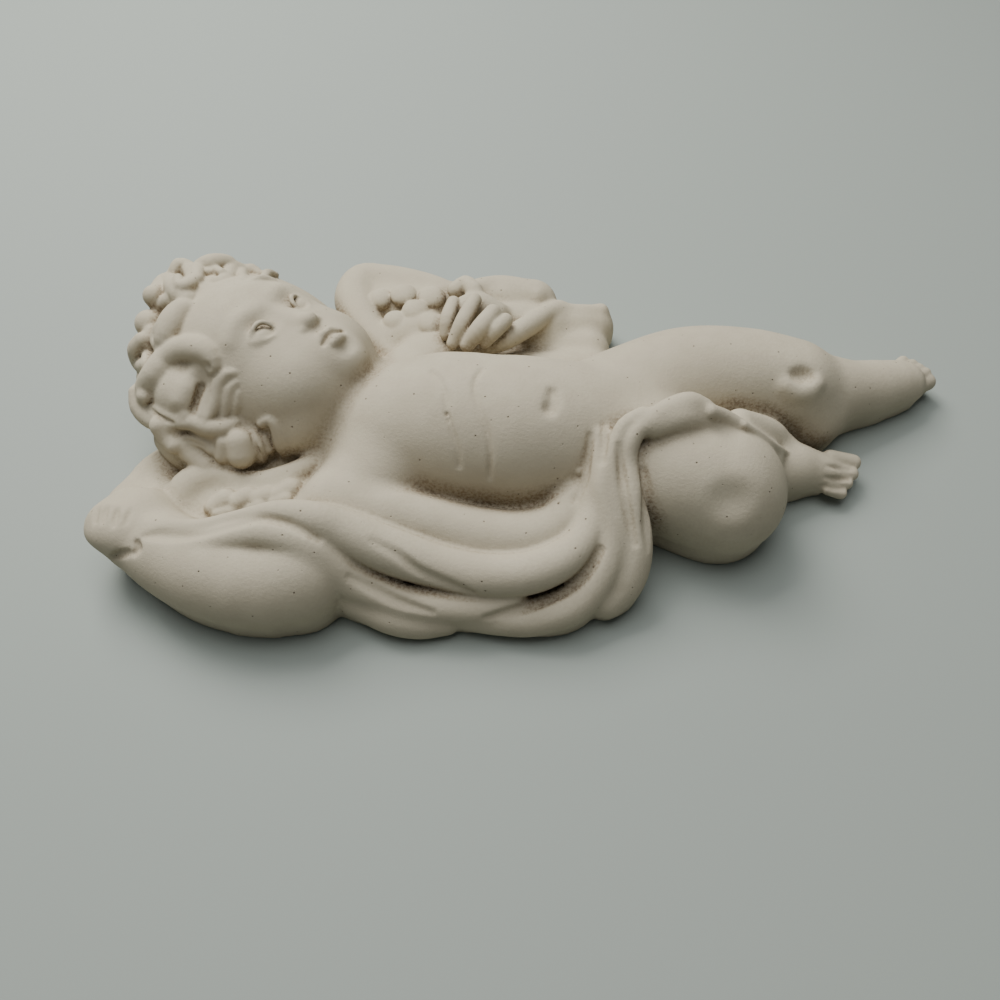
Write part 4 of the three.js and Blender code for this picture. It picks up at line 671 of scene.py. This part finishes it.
@dataclass
class Hair:
    """Locks that frame the face, and the curls behind them."""

    lock: float = 3.6
    strand: float = 1.6
    curl: float = 6.0
    curls: int = 80
    beside: float = 7.0  # the rolls of hair beside the face
    over: float = 5.5  # and the roll over the forehead
    lowest: float = 14.0  # the hair is plain below this height, next to the wall
    crown: Point = (-2, -6, 10)  # the curls face away from this place in the head
    middle: Point = (-3, -6, 12)  # the middle and the radii of the ball that the curls are spread on
    spread: Point = (33, 26, 31)
    face_top: float = 30.0  # no curl lies ahead of the head's centre and lower than this
    locks_right: float = 14.0  # nor further right than this and lower than locks_top
    locks_top: float = 20.0
    nape: float = -6.0  # nor lower than this anywhere
    next_turn: float = 1.3  # from the start of one curl to that of the next, in radians
    stations: int = 6  # of one curl
    wound: float = 5.8  # the angle that one curl winds through
    swing: tuple[float, float] = (0.72, 0.6)  # how wide it starts and how much narrower it ends
    rise: tuple[float, float] = (0.3, 0.1)  # how far it rises and how deep it starts
    thick: tuple[float, float] = (0.48, 0.1)  # how thick it starts and how much thinner it ends

    def shape(self, clay: Clay) -> None:
        """Works the mass of the hair, the curls and then the locks that lie over them."""
        clay.head_ball((-3, -6, 12), (32, 25, 30), 2)
        clay.feature(self.beside, [(24, 0, 21, 1), (28, -2, 8, 1), (27, -5, -6, 1)], 3)
        clay.feature(self.beside, [(-24, 2, 20, 1), (-27, 0, 6, 1), (-26, -4, -6, 1)], 3)
        clay.feature(self.over, [(-14, 8, 27, 1), (0, 12, 30, 0.9), (14, 8, 29, 1)], 3)
        self.shape_curls(clay)
        self.shape_locks(clay)

    def shape_curls(self, clay: Clay) -> None:
        """Spreads curls over the hair by the golden angle, clear of the face and the locks."""
        golden_angle = math.pi * (3 - math.sqrt(5))
        for n in range(self.curls):
            height = 1 - (2 * n + 1) / self.curls
            ring = math.sqrt(1 - height * height)
            right = self.middle[0] + self.spread[0] * ring * math.cos(n * golden_angle)
            forward = self.middle[1] + self.spread[1] * ring * math.sin(n * golden_angle)
            up = self.middle[2] + self.spread[2] * height
            centre = HEAD.at(right, forward, up)
            over_face = forward > 0 and up < self.face_top
            over_locks = right > self.locks_right and up < self.locks_top
            if centre[2] > self.lowest and up > self.nape and not over_face and not over_locks:
                self.wind(clay, centre, n * self.next_turn, 1 if n % 2 else -1)

    def wind(self, clay: Clay, centre: np.ndarray, start: float, turn: int) -> None:
        """Winds one spiral lock about its centre.

        Args:
            clay: The block.
            centre: The middle of the spiral.
            start: The angle of its outer end.
            turn: 1 or -1 for the way that it winds.
        """
        outward = unit(centre - HEAD.at(*self.crown))
        across = unit(np.cross(outward, HEAD.axes()[2]))
        along = np.cross(outward, across)
        stations = []
        for t in np.linspace(0, 1, self.stations):
            angle = start + turn * self.wound * t
            swing = self.curl * (self.swing[0] - self.swing[1] * t)
            place = centre + (across * math.cos(angle) + along * math.sin(angle)) * swing
            place = place + outward * self.curl * (self.rise[0] * t - self.rise[1])
            stations.append((*place, self.thick[0] - self.thick[1] * t))
        clay.roll(self.curl, stations, 0.7)

    def shape_locks(self, clay: Clay) -> None:
        """Lays the locks round the forehead, over the temple and down to the nape."""
        for place in ((-104.5, 49.5, 34.5), (-97, -4, 22), (-100, -3, 16.5), (-107.5, 7, 27)):
            clay.ball(place, (5, 5, 5), 2)
        clay.ball((-110, 27.5, 35), (4.4, 4.4, 4.4), 0.8)
        clay.roll(self.lock, [(-110.5, 20.5, 35, 0.72), (-113, 19.5, 32, 0.78), (-113.5, 19.5, 26, 0.78),
            (-107, 11, 34.5, 0.61), (-109.5, 18.5, 31.5, 0.5)], 0.6)
        clay.rolls(self.lock, 0.8,
            [(-108.5, 37.5, 38.5, 0.89), (-109, 46.5, 34, 1), (-99.5, 33, 43, 1.06), (-96, 28.5, 44, 0.89)],
            [(-109, 35, 39.5, 0.94), (-107, 34, 37, 0.89), (-102.5, 31.5, 41, 0.67)])
        clay.rolls(self.lock, 0.6,
            [(-105.5, 47.5, 38.5, 0.56), (-104.5, 49.5, 39, 0.67), (-102, 49.5, 38, 0.72),
             (-98.5, 43, 40, 0.72), (-96, 33, 46, 0.61), (-98, 31.5, 47, 0.5), (-101, 38, 44, 0.44)],
            [(-95, 37, 44.5, 0.56), (-97.5, 47, 39.5, 0.78), (-94, 49, 40, 0.94),
             (-90.5, 52.5, 37, 0.89), (-89, 50, 36.5, 0.78), (-87, 39.5, 42, 0.67), (-90, 37.5, 43, 0.5)])
        clay.rolls(self.strand, 0.6,
            [(-94, 44.5, 40.5, 1), (-92, 46, 40, 1.12), (-88.5, 41.5, 43.5, 0.87)],
            [(-80.5, 35.5, 45.5, 0.87), (-85.5, 51, 35, 1.25), (-83.5, 53.5, 34, 1.38),
             (-80.5, 51.5, 34, 1)],
            [(-75, 37, 44.5, 0.62), (-78, 52, 34, 1), (-76.5, 56, 30, 0.62)],
            [(-78, 35, 46, 0.56), (-75, 37.5, 45, 0.81), (-72, 38.5, 43, 0.62)])
        clay.roll(self.lock, [(-95, 24.5, 44.5, 0.72), (-97, 23.5, 43.5, 1.17), (-99, 19.5, 42.5, 1.28),
            (-100.5, 15.5, 41, 1), (-102.5, 14, 38, 0.61)], 0.9)
        clay.ball((-95, 5.5, 28.5), (9, 9, 9), 3)
        clay.ball((-95.5, 3, 29.5), (8, 8, 8), 3)
        clay.rolls(self.lock, 0.9,
            [(-107.5, 3, 28.5, 0.72), (-106.5, 5.5, 31, 1.06), (-103, 6.5, 35.5, 1.17),
             (-100, 10.5, 37.5, 1.17), (-95, 11.5, 40.5, 1.17), (-89.5, 9.5, 43, 1.11),
             (-86, 7.5, 43, 0.94), (-84.5, 5, 41.5, 0.72), (-85, 4, 40, 0.44)],
            [(-106.5, 2, 31, 0.72), (-107, 3.5, 25, 0.94), (-100, -3, 28.5, 0.94), (-96, -5.5, 29, 0.72),
             (-93, -5.5, 31.5, 0.5)])
        clay.groove(self.strand, [(-105, -1.5, 29.5, 0.31), (-100, -6, 30.5, 0.44),
            (-95, -8, 30, 0.31)], 0.6)
        clay.roll(self.lock, [(-94, -2, 34, 0.78), (-92.5, 1, 35.5, 0.89), (-91, 4, 37, 0.72),
            (-89, 5.5, 39.5, 0.5)], 2)
        clay.roll(self.lock, [(-111, 5.5, 28.5, 0.61), (-109.5, 2, 26, 0.89), (-105.5, -1.5, 25, 0.94),
            (-98.5, -6.5, 27.5, 0.61)], 0.7)
        clay.ball((-86, 2.5, 43), (1.6, 1.6, 1.6), 0.8, pressed=True)
        clay.groove(self.strand, [(-88.5, 0.5, 36.5, 0.75), (-89, -2, 34.5, 1), (-90.5, -5, 33, 0.62)], 1)
        clay.roll(self.lock, [(-85.5, 0.5, 35, 0.61), (-87, -2.5, 32.5, 0.72),
            (-88, -5.5, 31.5, 0.56)], 0.8)
        clay.roll(self.strand, [(-78.5, 3, 40.5, 0.75), (-80.5, 3, 40, 1.12), (-83, 1.5, 37.5, 1.5),
            (-84, -1, 35, 1.5), (-85.5, -4.5, 32.5, 1.25), (-87, -7, 31.5, 0.75)], 0.6)
        clay.rolls(self.strand, 0.5,
            [(-78, 1, 38.5, 0.75), (-80, 0, 36.5, 1.25), (-81, -2, 33.5, 1.38), (-82.5, -4.5, 30.5, 1)],
            [(-77.5, -1, 36.5, 0.62), (-78, -2.5, 33.5, 1), (-79.5, -4, 30.5, 0.75)])
        clay.roll(self.lock, [(-94.5, -7, 29.5, 0.5), (-91, -7, 30, 0.67), (-86.5, -8, 29, 0.78),
            (-82, -7.5, 28.5, 0.72), (-79, -5.5, 29, 0.44)], 0.6)
        clay.rolls(self.lock, 2,
            [(-102, -1, 15, 1.67), (-96.5, -5.5, 15, 1.81), (-89, -8, 15, 1.81), (-81, -9, 16, 1.67)],
            [(-97, -5.5, 22.5, 1.28), (-93, -7.5, 17.5, 1.39), (-86, -9.5, 17.5, 1.44),
             (-79.5, -9.5, 21.5, 1.44), (-76.5, -9, 21.5, 1.33), (-70, -5, 19.5, 1)])
        clay.roll(self.lock, [(-96, -9, 23, 0.89), (-93, -10.5, 20, 1.11), (-88.5, -14, 19, 0.89)], 0.6)
        clay.roll(self.lock, [(-94, -8.5, 24.5, 0.56), (-89, -9, 24, 0.72), (-86, -11.5, 23, 0.56)], 0.5)
        clay.rolls(self.lock, 0.6,
            [(-101.5, -6, 27, 0.89), (-99.5, -7.5, 24, 1), (-97.5, -10.5, 23.5, 0.72)],
            [(-82.5, -11, 26, 0.61), (-83, -13, 22.5, 0.72)],
            [(-78, -10.5, 25.5, 1.17), (-77.5, -13, 23, 1.17)],
            [(-74.5, -8, 26, 0.56), (-73.5, -10, 23.5, 0.72), (-73, -11, 19.5, 0.61)])
        clay.rolls(self.strand, 0.5,
            [(-71.5, -6, 29, 1), (-68.5, -6, 31, 1.12), (-67, -7.5, 28.5, 1.25), (-66.5, -9, 23.5, 1.5),
             (-65.5, -9, 18.5, 1.25)],
            [(-71, -7.5, 24.5, 1), (-70.5, -9.5, 21.5, 1.12)])
        clay.grooves(self.strand, 0.4,
            [(-95, -10, 26, 0.25), (-91.5, -10.5, 25.5, 0.31), (-88, -12, 25, 0.25)],
            [(-74.5, -8, 28, 0.25), (-73.5, -11, 26.5, 0.31), (-72, -12.5, 22, 0.25)])


@dataclass
class Cast:
    """The whole casting, from the clay to the finished mesh."""

    triangles: int = 190_000
    smoothing: float = 0.5
    smoothings: int = 2
    same_place: float = 1e-6  # metres
    hollows: tuple[float, ...] = (0.8, 1.6, 4.0, 9.0)  # how far out the dusting and painted shade look for a wall, in millimetres

    def model(self) -> Clay:
        """Works every form into a block of clay, in the order that they lie over each other."""
        clay = Clay()
        body = [Torso(), Legs(), Feet(), Skull(), Wings(), Hands()]
        details = [FarCloth(), NearCloth(), Belly(), Hair(), Face()]
        for form in body + details:
            form.shape(clay)
            log.info("worked %s", type(form).__name__)
        clay.fill_under()
        clay.cut_back()
        return clay

    def mesh(self, clay: Clay) -> bpy.types.Object:
        """Draws the skin of the clay as one closed mesh.

        Args:
            clay: The finished block.

        Returns:
            The object, in metres.
        """
        points, quads = clay.skin()
        mesh = bpy.data.meshes.new(NODE + "_fine")
        mesh.from_pydata(points * METRES, [], quads.tolist())
        piece = bpy.data.objects.new(NODE + "_fine", mesh)
        bpy.context.scene.collection.objects.link(piece)
        bpy.ops.object.select_all(action="DESELECT")
        piece.select_set(True)
        bpy.context.view_layer.objects.active = piece
        bpy.ops.object.mode_set(mode="EDIT")
        bpy.ops.mesh.select_all(action="SELECT")
        bpy.ops.mesh.normals_make_consistent(inside=False)
        bpy.ops.mesh.separate(type="LOOSE")
        bpy.ops.object.mode_set(mode="OBJECT")
        piece = self.keep_largest(bpy.context.selected_objects)
        smooth = piece.modifiers.new("Smooth", "SMOOTH")
        smooth.factor = self.smoothing
        smooth.iterations = self.smoothings
        bpy.ops.object.modifier_apply(modifier=smooth.name)
        thin = piece.modifiers.new("Thin", "DECIMATE")
        thin.ratio = min(1.0, self.triangles / (2 * len(quads)))
        bpy.ops.object.modifier_apply(modifier=thin.name)
        self.keep_in_box(piece)
        self.close(piece)
        bpy.ops.object.shade_smooth()
        log.info("%s has %d triangles", piece.name, sum(len(p.vertices) - 2 for p in piece.data.polygons))
        return piece

    def keep_largest(self, shells: Sequence[bpy.types.Object]) -> bpy.types.Object:
        """Deletes the skins of the pockets of air inside the clay, and keeps the outer one.

        Args:
            shells: Every separate skin.

        Returns:
            The outer skin, selected and active.
        """
        outer = max(shells, key=lambda shell: len(shell.data.vertices))
        for shell in list(shells):
            if shell is not outer:
                bpy.data.objects.remove(shell)
        outer.name = NODE + "_fine"
        outer.select_set(True)
        bpy.context.view_layer.objects.active = outer
        return outer

    def close(self, piece: bpy.types.Object) -> None:
        """Merges points that lie on each other and fills any gap that is left."""
        bpy.ops.object.mode_set(mode="EDIT")
        bpy.ops.mesh.select_mode(type="VERT")
        bpy.ops.mesh.select_all(action="SELECT")
        bpy.ops.mesh.remove_doubles(threshold=self.same_place)
        bpy.ops.mesh.dissolve_degenerate(threshold=self.same_place)
        bpy.ops.mesh.fill_holes(sides=0)
        bpy.ops.mesh.normals_make_consistent(inside=False)
        bpy.ops.object.mode_set(mode="OBJECT")

    def keep_in_box(self, piece: bpy.types.Object) -> None:
        """Sets points that the smoothing or the finer grid left outside the solid's box back onto it."""
        count = len(piece.data.vertices)
        points = np.empty(count * 3)
        piece.data.vertices.foreach_get("co", points)
        low, high = (np.array(corner) for corner in CAD_BOX)
        points = np.clip(points.reshape(-1, 3), low, high)
        piece.data.vertices.foreach_set("co", points.ravel())
        piece.data.update()

    def mark_hollows(self, piece: bpy.types.Object, clay: Clay) -> None:
        """Stores how deep in a hollow each point lies, as the attributes that the dusting and the painted
        shade in the hollows follow.

        Args:
            piece: The finished mesh.
            clay: The block that it was drawn from.
        """
        count = len(piece.data.vertices)
        points = np.empty(count * 3)
        piece.data.vertices.foreach_get("co", points)
        normals = np.empty(count * 3)
        piece.data.vertices.foreach_get("normal", normals)
        points = points.reshape(-1, 3) / METRES
        normals = normals.reshape(-1, 3)
        for name, reaches in (("crevice", self.hollows[:2]), ("hollow", self.hollows[2:])):
            depth = np.zeros(count)
            for reach in reaches:
                gap = clay.sample(points + normals * reach)
                depth += np.clip(1 - gap / reach, 0, 1) / len(reaches)
            layer = piece.data.attributes.new(name, "FLOAT", "POINT")
            layer.data.foreach_set("value", depth)

    def build(self) -> bpy.types.Object:
        """Makes the finished piece, dressed and standing for the faceted solid."""
        clay = self.model()
        piece = self.mesh(clay)
        self.mark_hollows(piece, clay)
        piece.data.materials.append(Plaster().material())
        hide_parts(NODE)
        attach(piece, BODY)
        return piece


Value = Union["Wire", float]


class Wire:
    """A value that runs through a material's nodes, with Python's operators on it."""

    def __init__(self, tree: bpy.types.NodeTree, socket: bpy.types.NodeSocket) -> None:
        """Wraps an output socket of the tree."""
        self.tree = tree
        self.socket = socket

    def maths(self, operation: str, *values: Value, clamp: bool = False) -> "Wire":
        """Adds a Math node.

        Args:
            operation: The node's operation.
            values: What goes into its sockets, in order.
            clamp: True to keep the result from 0 to 1.

        Returns:
            The result.
        """
        node = self.tree.nodes.new("ShaderNodeMath")
        node.operation = operation
        node.use_clamp = clamp
        for socket, value in zip(node.inputs, values):
            if isinstance(value, Wire):
                self.tree.links.new(value.socket, socket)
            else:
                socket.default_value = value
        return Wire(self.tree, node.outputs[0])

    def __add__(self, other: Value) -> "Wire":
        """The sum."""
        return self.maths("ADD", self, other)

    __radd__ = __add__

    def __sub__(self, other: Value) -> "Wire":
        """The difference."""
        return self.maths("SUBTRACT", self, other)

    def __rsub__(self, other: Value) -> "Wire":
        """The difference, the other way round."""
        return self.maths("SUBTRACT", other, self)

    def __mul__(self, other: Value) -> "Wire":
        """The product."""
        return self.maths("MULTIPLY", self, other)

    __rmul__ = __mul__

    def ramp(self, low: float, high: float) -> "Wire":
        """0 up to the low value, 1 from the high one on, and straight between them."""
        return self.maths("MULTIPLY_ADD", self, 1 / (high - low), -low / (high - low), clamp=True)


class Bench:
    """A material's nodes, added one after another."""

    def __init__(self, name: str) -> None:
        """Starts a material with an empty tree."""
        self.material = bpy.data.materials.new(name)
        self.material.use_nodes = True
        self.tree = self.material.node_tree
        self.tree.nodes.clear()

    def add(self, kind: str, output: Union[int, str] = 0, settings: Optional[dict] = None,
            **sockets: object) -> Wire:
        """Adds a node.

        Args:
            kind: The node's type.
            output: The output to hand back.
            settings: The node's own settings, which are set first.
            sockets: What goes into its inputs, by name with _ for a space.

        Returns:
            The chosen output.
        """
        node = self.tree.nodes.new(kind)
        for name, value in (settings or {}).items():
            setattr(node, name, value)
        for name, value in sockets.items():
            socket = next(s for s in node.inputs if s.name == name.replace("_", " ") and s.enabled)
            if isinstance(value, Wire):
                self.tree.links.new(value.socket, socket)
            else:
                socket.default_value = value
        return Wire(self.tree, node.outputs[output]) if node.outputs else Wire(self.tree, None)


@dataclass(frozen=True)
class Plaster:
    """Matte cream plaster, with a brown dusting and painted shade in its hollows, near-black painted shade
    and dirt in the deepest creases and air holes, a mottled surface and small air holes.
    """

    cream: tuple[float, float, float] = (0.475, 0.42, 0.31)
    pale: tuple[float, float, float] = (0.545, 0.49, 0.365)
    # the brown of the dusting in the hollows, which also serves as painted shade there
    dust_and_shade: tuple[float, float, float] = (0.24, 0.18, 0.115)
    # near black: dirt and painted shade in the deepest creases and the air holes
    grime_and_shade: tuple[float, float, float] = (0.08, 0.055, 0.033)
    roughness: float = 0.86
    shine: float = 0.3
    per_metre: float = 1000.0
    broad: float = 0.025  # this and the next five are scales of patterns, per millimetre
    mottle: float = 0.12
    speck: float = 1.1
    fine: float = 3.0
    bubble: float = 0.33
    seldom: float = 0.3
    relief: float = 0.5  # how strong the grain is
    relief_depth: float = 0.0003  # metres

    def noise(self, bench: Bench, place: Wire, per_millimetre: float, detail: float = 3.0) -> Wire:
        """Noise of the given fineness."""
        scale = per_millimetre * self.per_metre
        return bench.add("ShaderNodeTexNoise", "Fac", Vector=place, Scale=scale, Detail=detail, Roughness=0.6)

    def mix(self, bench: Bench, share: Value, low: object, high: object) -> Wire:
        """A colour between two."""
        return bench.add("ShaderNodeMix", "Result", {"data_type": "RGBA"}, Factor=share, A=low, B=high)

    def material(self) -> bpy.types.Material:
        """Builds the finish."""
        bench = Bench("plaster")
        place = bench.add("ShaderNodeTexCoord", "Object")
        crevice = bench.add("ShaderNodeAttribute", "Fac", {"attribute_name": "crevice"})
        hollow = bench.add("ShaderNodeAttribute", "Fac", {"attribute_name": "hollow"})
        broad = self.noise(bench, place, self.broad)
        mottle = self.noise(bench, place, self.mottle)
        speck = self.noise(bench, place, self.speck, 2.0)
        fine = self.noise(bench, place, self.fine, 2.0)
        tone = (broad * 0.6 + mottle * 0.4).ramp(0.35, 0.65)
        body = self.mix(bench, tone, (*self.cream, 1), (*self.pale, 1))
        # painted shade and a dusting together: the deeper a point lies in a crease or hollow, the browner it
        # is painted
        settled_dust_and_shade = (crevice * 0.6 + hollow * 0.9 + (mottle - 0.5) * 0.3).ramp(0.22, 0.95)
        grains = speck.ramp(0.42, 0.62)
        dust_and_shade_share = settled_dust_and_shade * (0.35 + grains * 0.5) + grains * broad.ramp(0.4, 0.6) * 0.08
        body = self.mix(bench, dust_and_shade_share, body, (*self.dust_and_shade, 1))
        # painted shade and dirt: speckled near black at the bottom of the deepest creases
        deep = crevice.ramp(0.65, 1.0) * speck.ramp(0.5, 0.6)
        body = self.mix(bench, deep * 0.7, body, (*self.grime_and_shade, 1))
        scale = self.bubble * self.per_metre
        cells = bench.add("ShaderNodeTexVoronoi", "Distance", Vector=place, Scale=scale)
        seldom = self.noise(bench, place, self.seldom, 1.0).ramp(0.5, 0.58)
        holes = (1 - cells.ramp(0.05, 0.11)) * seldom
        # painted shade and dirt near black in the air holes, which the bump also sinks
        body = self.mix(bench, holes * 0.8, body, (*self.grime_and_shade, 1))
        height = fine * 0.35 + speck * 0.6 + mottle * 0.8 - holes * 2.0
        bump = bench.add("ShaderNodeBump", "Normal", Height=height, Strength=self.relief,
                         Distance=self.relief_depth)
        shader = bench.add("ShaderNodeBsdfPrincipled", "BSDF", Base_Color=body, Roughness=self.roughness,
                           Specular_IOR_Level=self.shine, Normal=bump)
        bench.add("ShaderNodeOutputMaterial", Surface=shader)
        return bench.material


@dataclass(frozen=True)
class Tabletop:
    """A plain pale grey-green table."""

    colour: tuple[float, float, float] = (0.335, 0.37, 0.335)
    roughness: float = 0.6
    shine: float = 0.2

    def material(self) -> bpy.types.Material:
        """Builds the finish."""
        bench = Bench("tabletop")
        shader = bench.add("ShaderNodeBsdfPrincipled", "BSDF", Base_Color=(*self.colour, 1),
                           Roughness=self.roughness, Specular_IOR_Level=self.shine)
        bench.add("ShaderNodeOutputMaterial", Surface=shader)
        return bench.material


class Softness(Enum):
    """How wide a lamp is, in metres."""

    KEY = 0.45
    FILL = 0.90


@dataclass(frozen=True)
class Lamp:
    """A square lamp that faces the middle of the cast."""

    name: str
    place: Point  # metres
    size: Softness
    watts: float
    colour: Point

    def hang(self) -> None:
        """Adds the lamp to the scene."""
        data = bpy.data.lights.new(self.name, "AREA")
        data.energy = self.watts
        data.size = self.size.value
        data.color = self.colour
        lamp = bpy.data.objects.new(self.name, data)
        lamp.location = self.place
        lamp.rotation_euler = (-Vector(self.place)).to_track_quat("-Z", "Y").to_euler()
        bpy.context.scene.collection.objects.link(lamp)


@dataclass(frozen=True)
class Studio:
    """The table, the lamps and the camera."""

    camera_place: Point = (-2.42, -172.19, 232.72)
    camera_turn: Point = (34.544, -0.569, 0.622)  # degrees about x, y and z
    focal: float = 32.4
    sensor: float = 36.0
    nearest: float = 0.01  # metres, where the camera's sight begins
    table_half: float = 3.0  # metres
    table_height: float = -0.0002  # metres, just under the back
    window: Lamp = Lamp("window", (-0.30, 0.46, 0.66), Softness.KEY, 8.2, (1.0, 0.985, 0.96))
    ceiling: Lamp = Lamp("ceiling", (-0.10, 0.15, 1.1), Softness.FILL, 8.0, (0.97, 0.985, 1.0))
    room: Point = (0.75, 0.78, 0.8)  # the colour of the light from all round
    room_strength: float = 0.12

    def table(self) -> None:
        """Lays the table under the back of the cast."""
        bpy.ops.object.select_all(action="DESELECT")
        bpy.ops.mesh.primitive_plane_add(size=2 * self.table_half, location=(0, 0, self.table_height))
        table = bpy.context.active_object
        table.name = "tabletop"
        table.data.materials.append(Tabletop().material())

    def lights(self) -> None:
        """Daylight from behind and to the left, and a little light from all round."""
        self.window.hang()
        self.ceiling.hang()
        world = bpy.data.worlds.new("room")
        world.use_nodes = True
        background = world.node_tree.nodes["Background"]
        background.inputs["Color"].default_value = (*self.room, 1)
        background.inputs["Strength"].default_value = self.room_strength
        bpy.context.scene.world = world

    def camera(self) -> None:
        """Puts the camera where the photograph was taken from."""
        data = bpy.data.cameras.new("camera")
        data.lens = self.focal
        data.sensor_width = self.sensor
        data.clip_start = self.nearest
        camera = bpy.data.objects.new("camera", data)
        camera.location = Vector(self.camera_place) * METRES
        camera.rotation_euler = [math.radians(angle) for angle in self.camera_turn]
        bpy.context.scene.collection.objects.link(camera)
        bpy.context.scene.camera = camera

    def build(self) -> None:
        """Sets up the whole studio."""
        self.camera()
        self.table()
        self.lights()


def main() -> None:
    """Builds the studio and the cast."""
    logging.basicConfig(level=logging.INFO, format="%(message)s")
    Studio().build()
    piece = Cast().build()
    log.info("finished %s", piece.name)


if __name__ == "__main__":
    main()
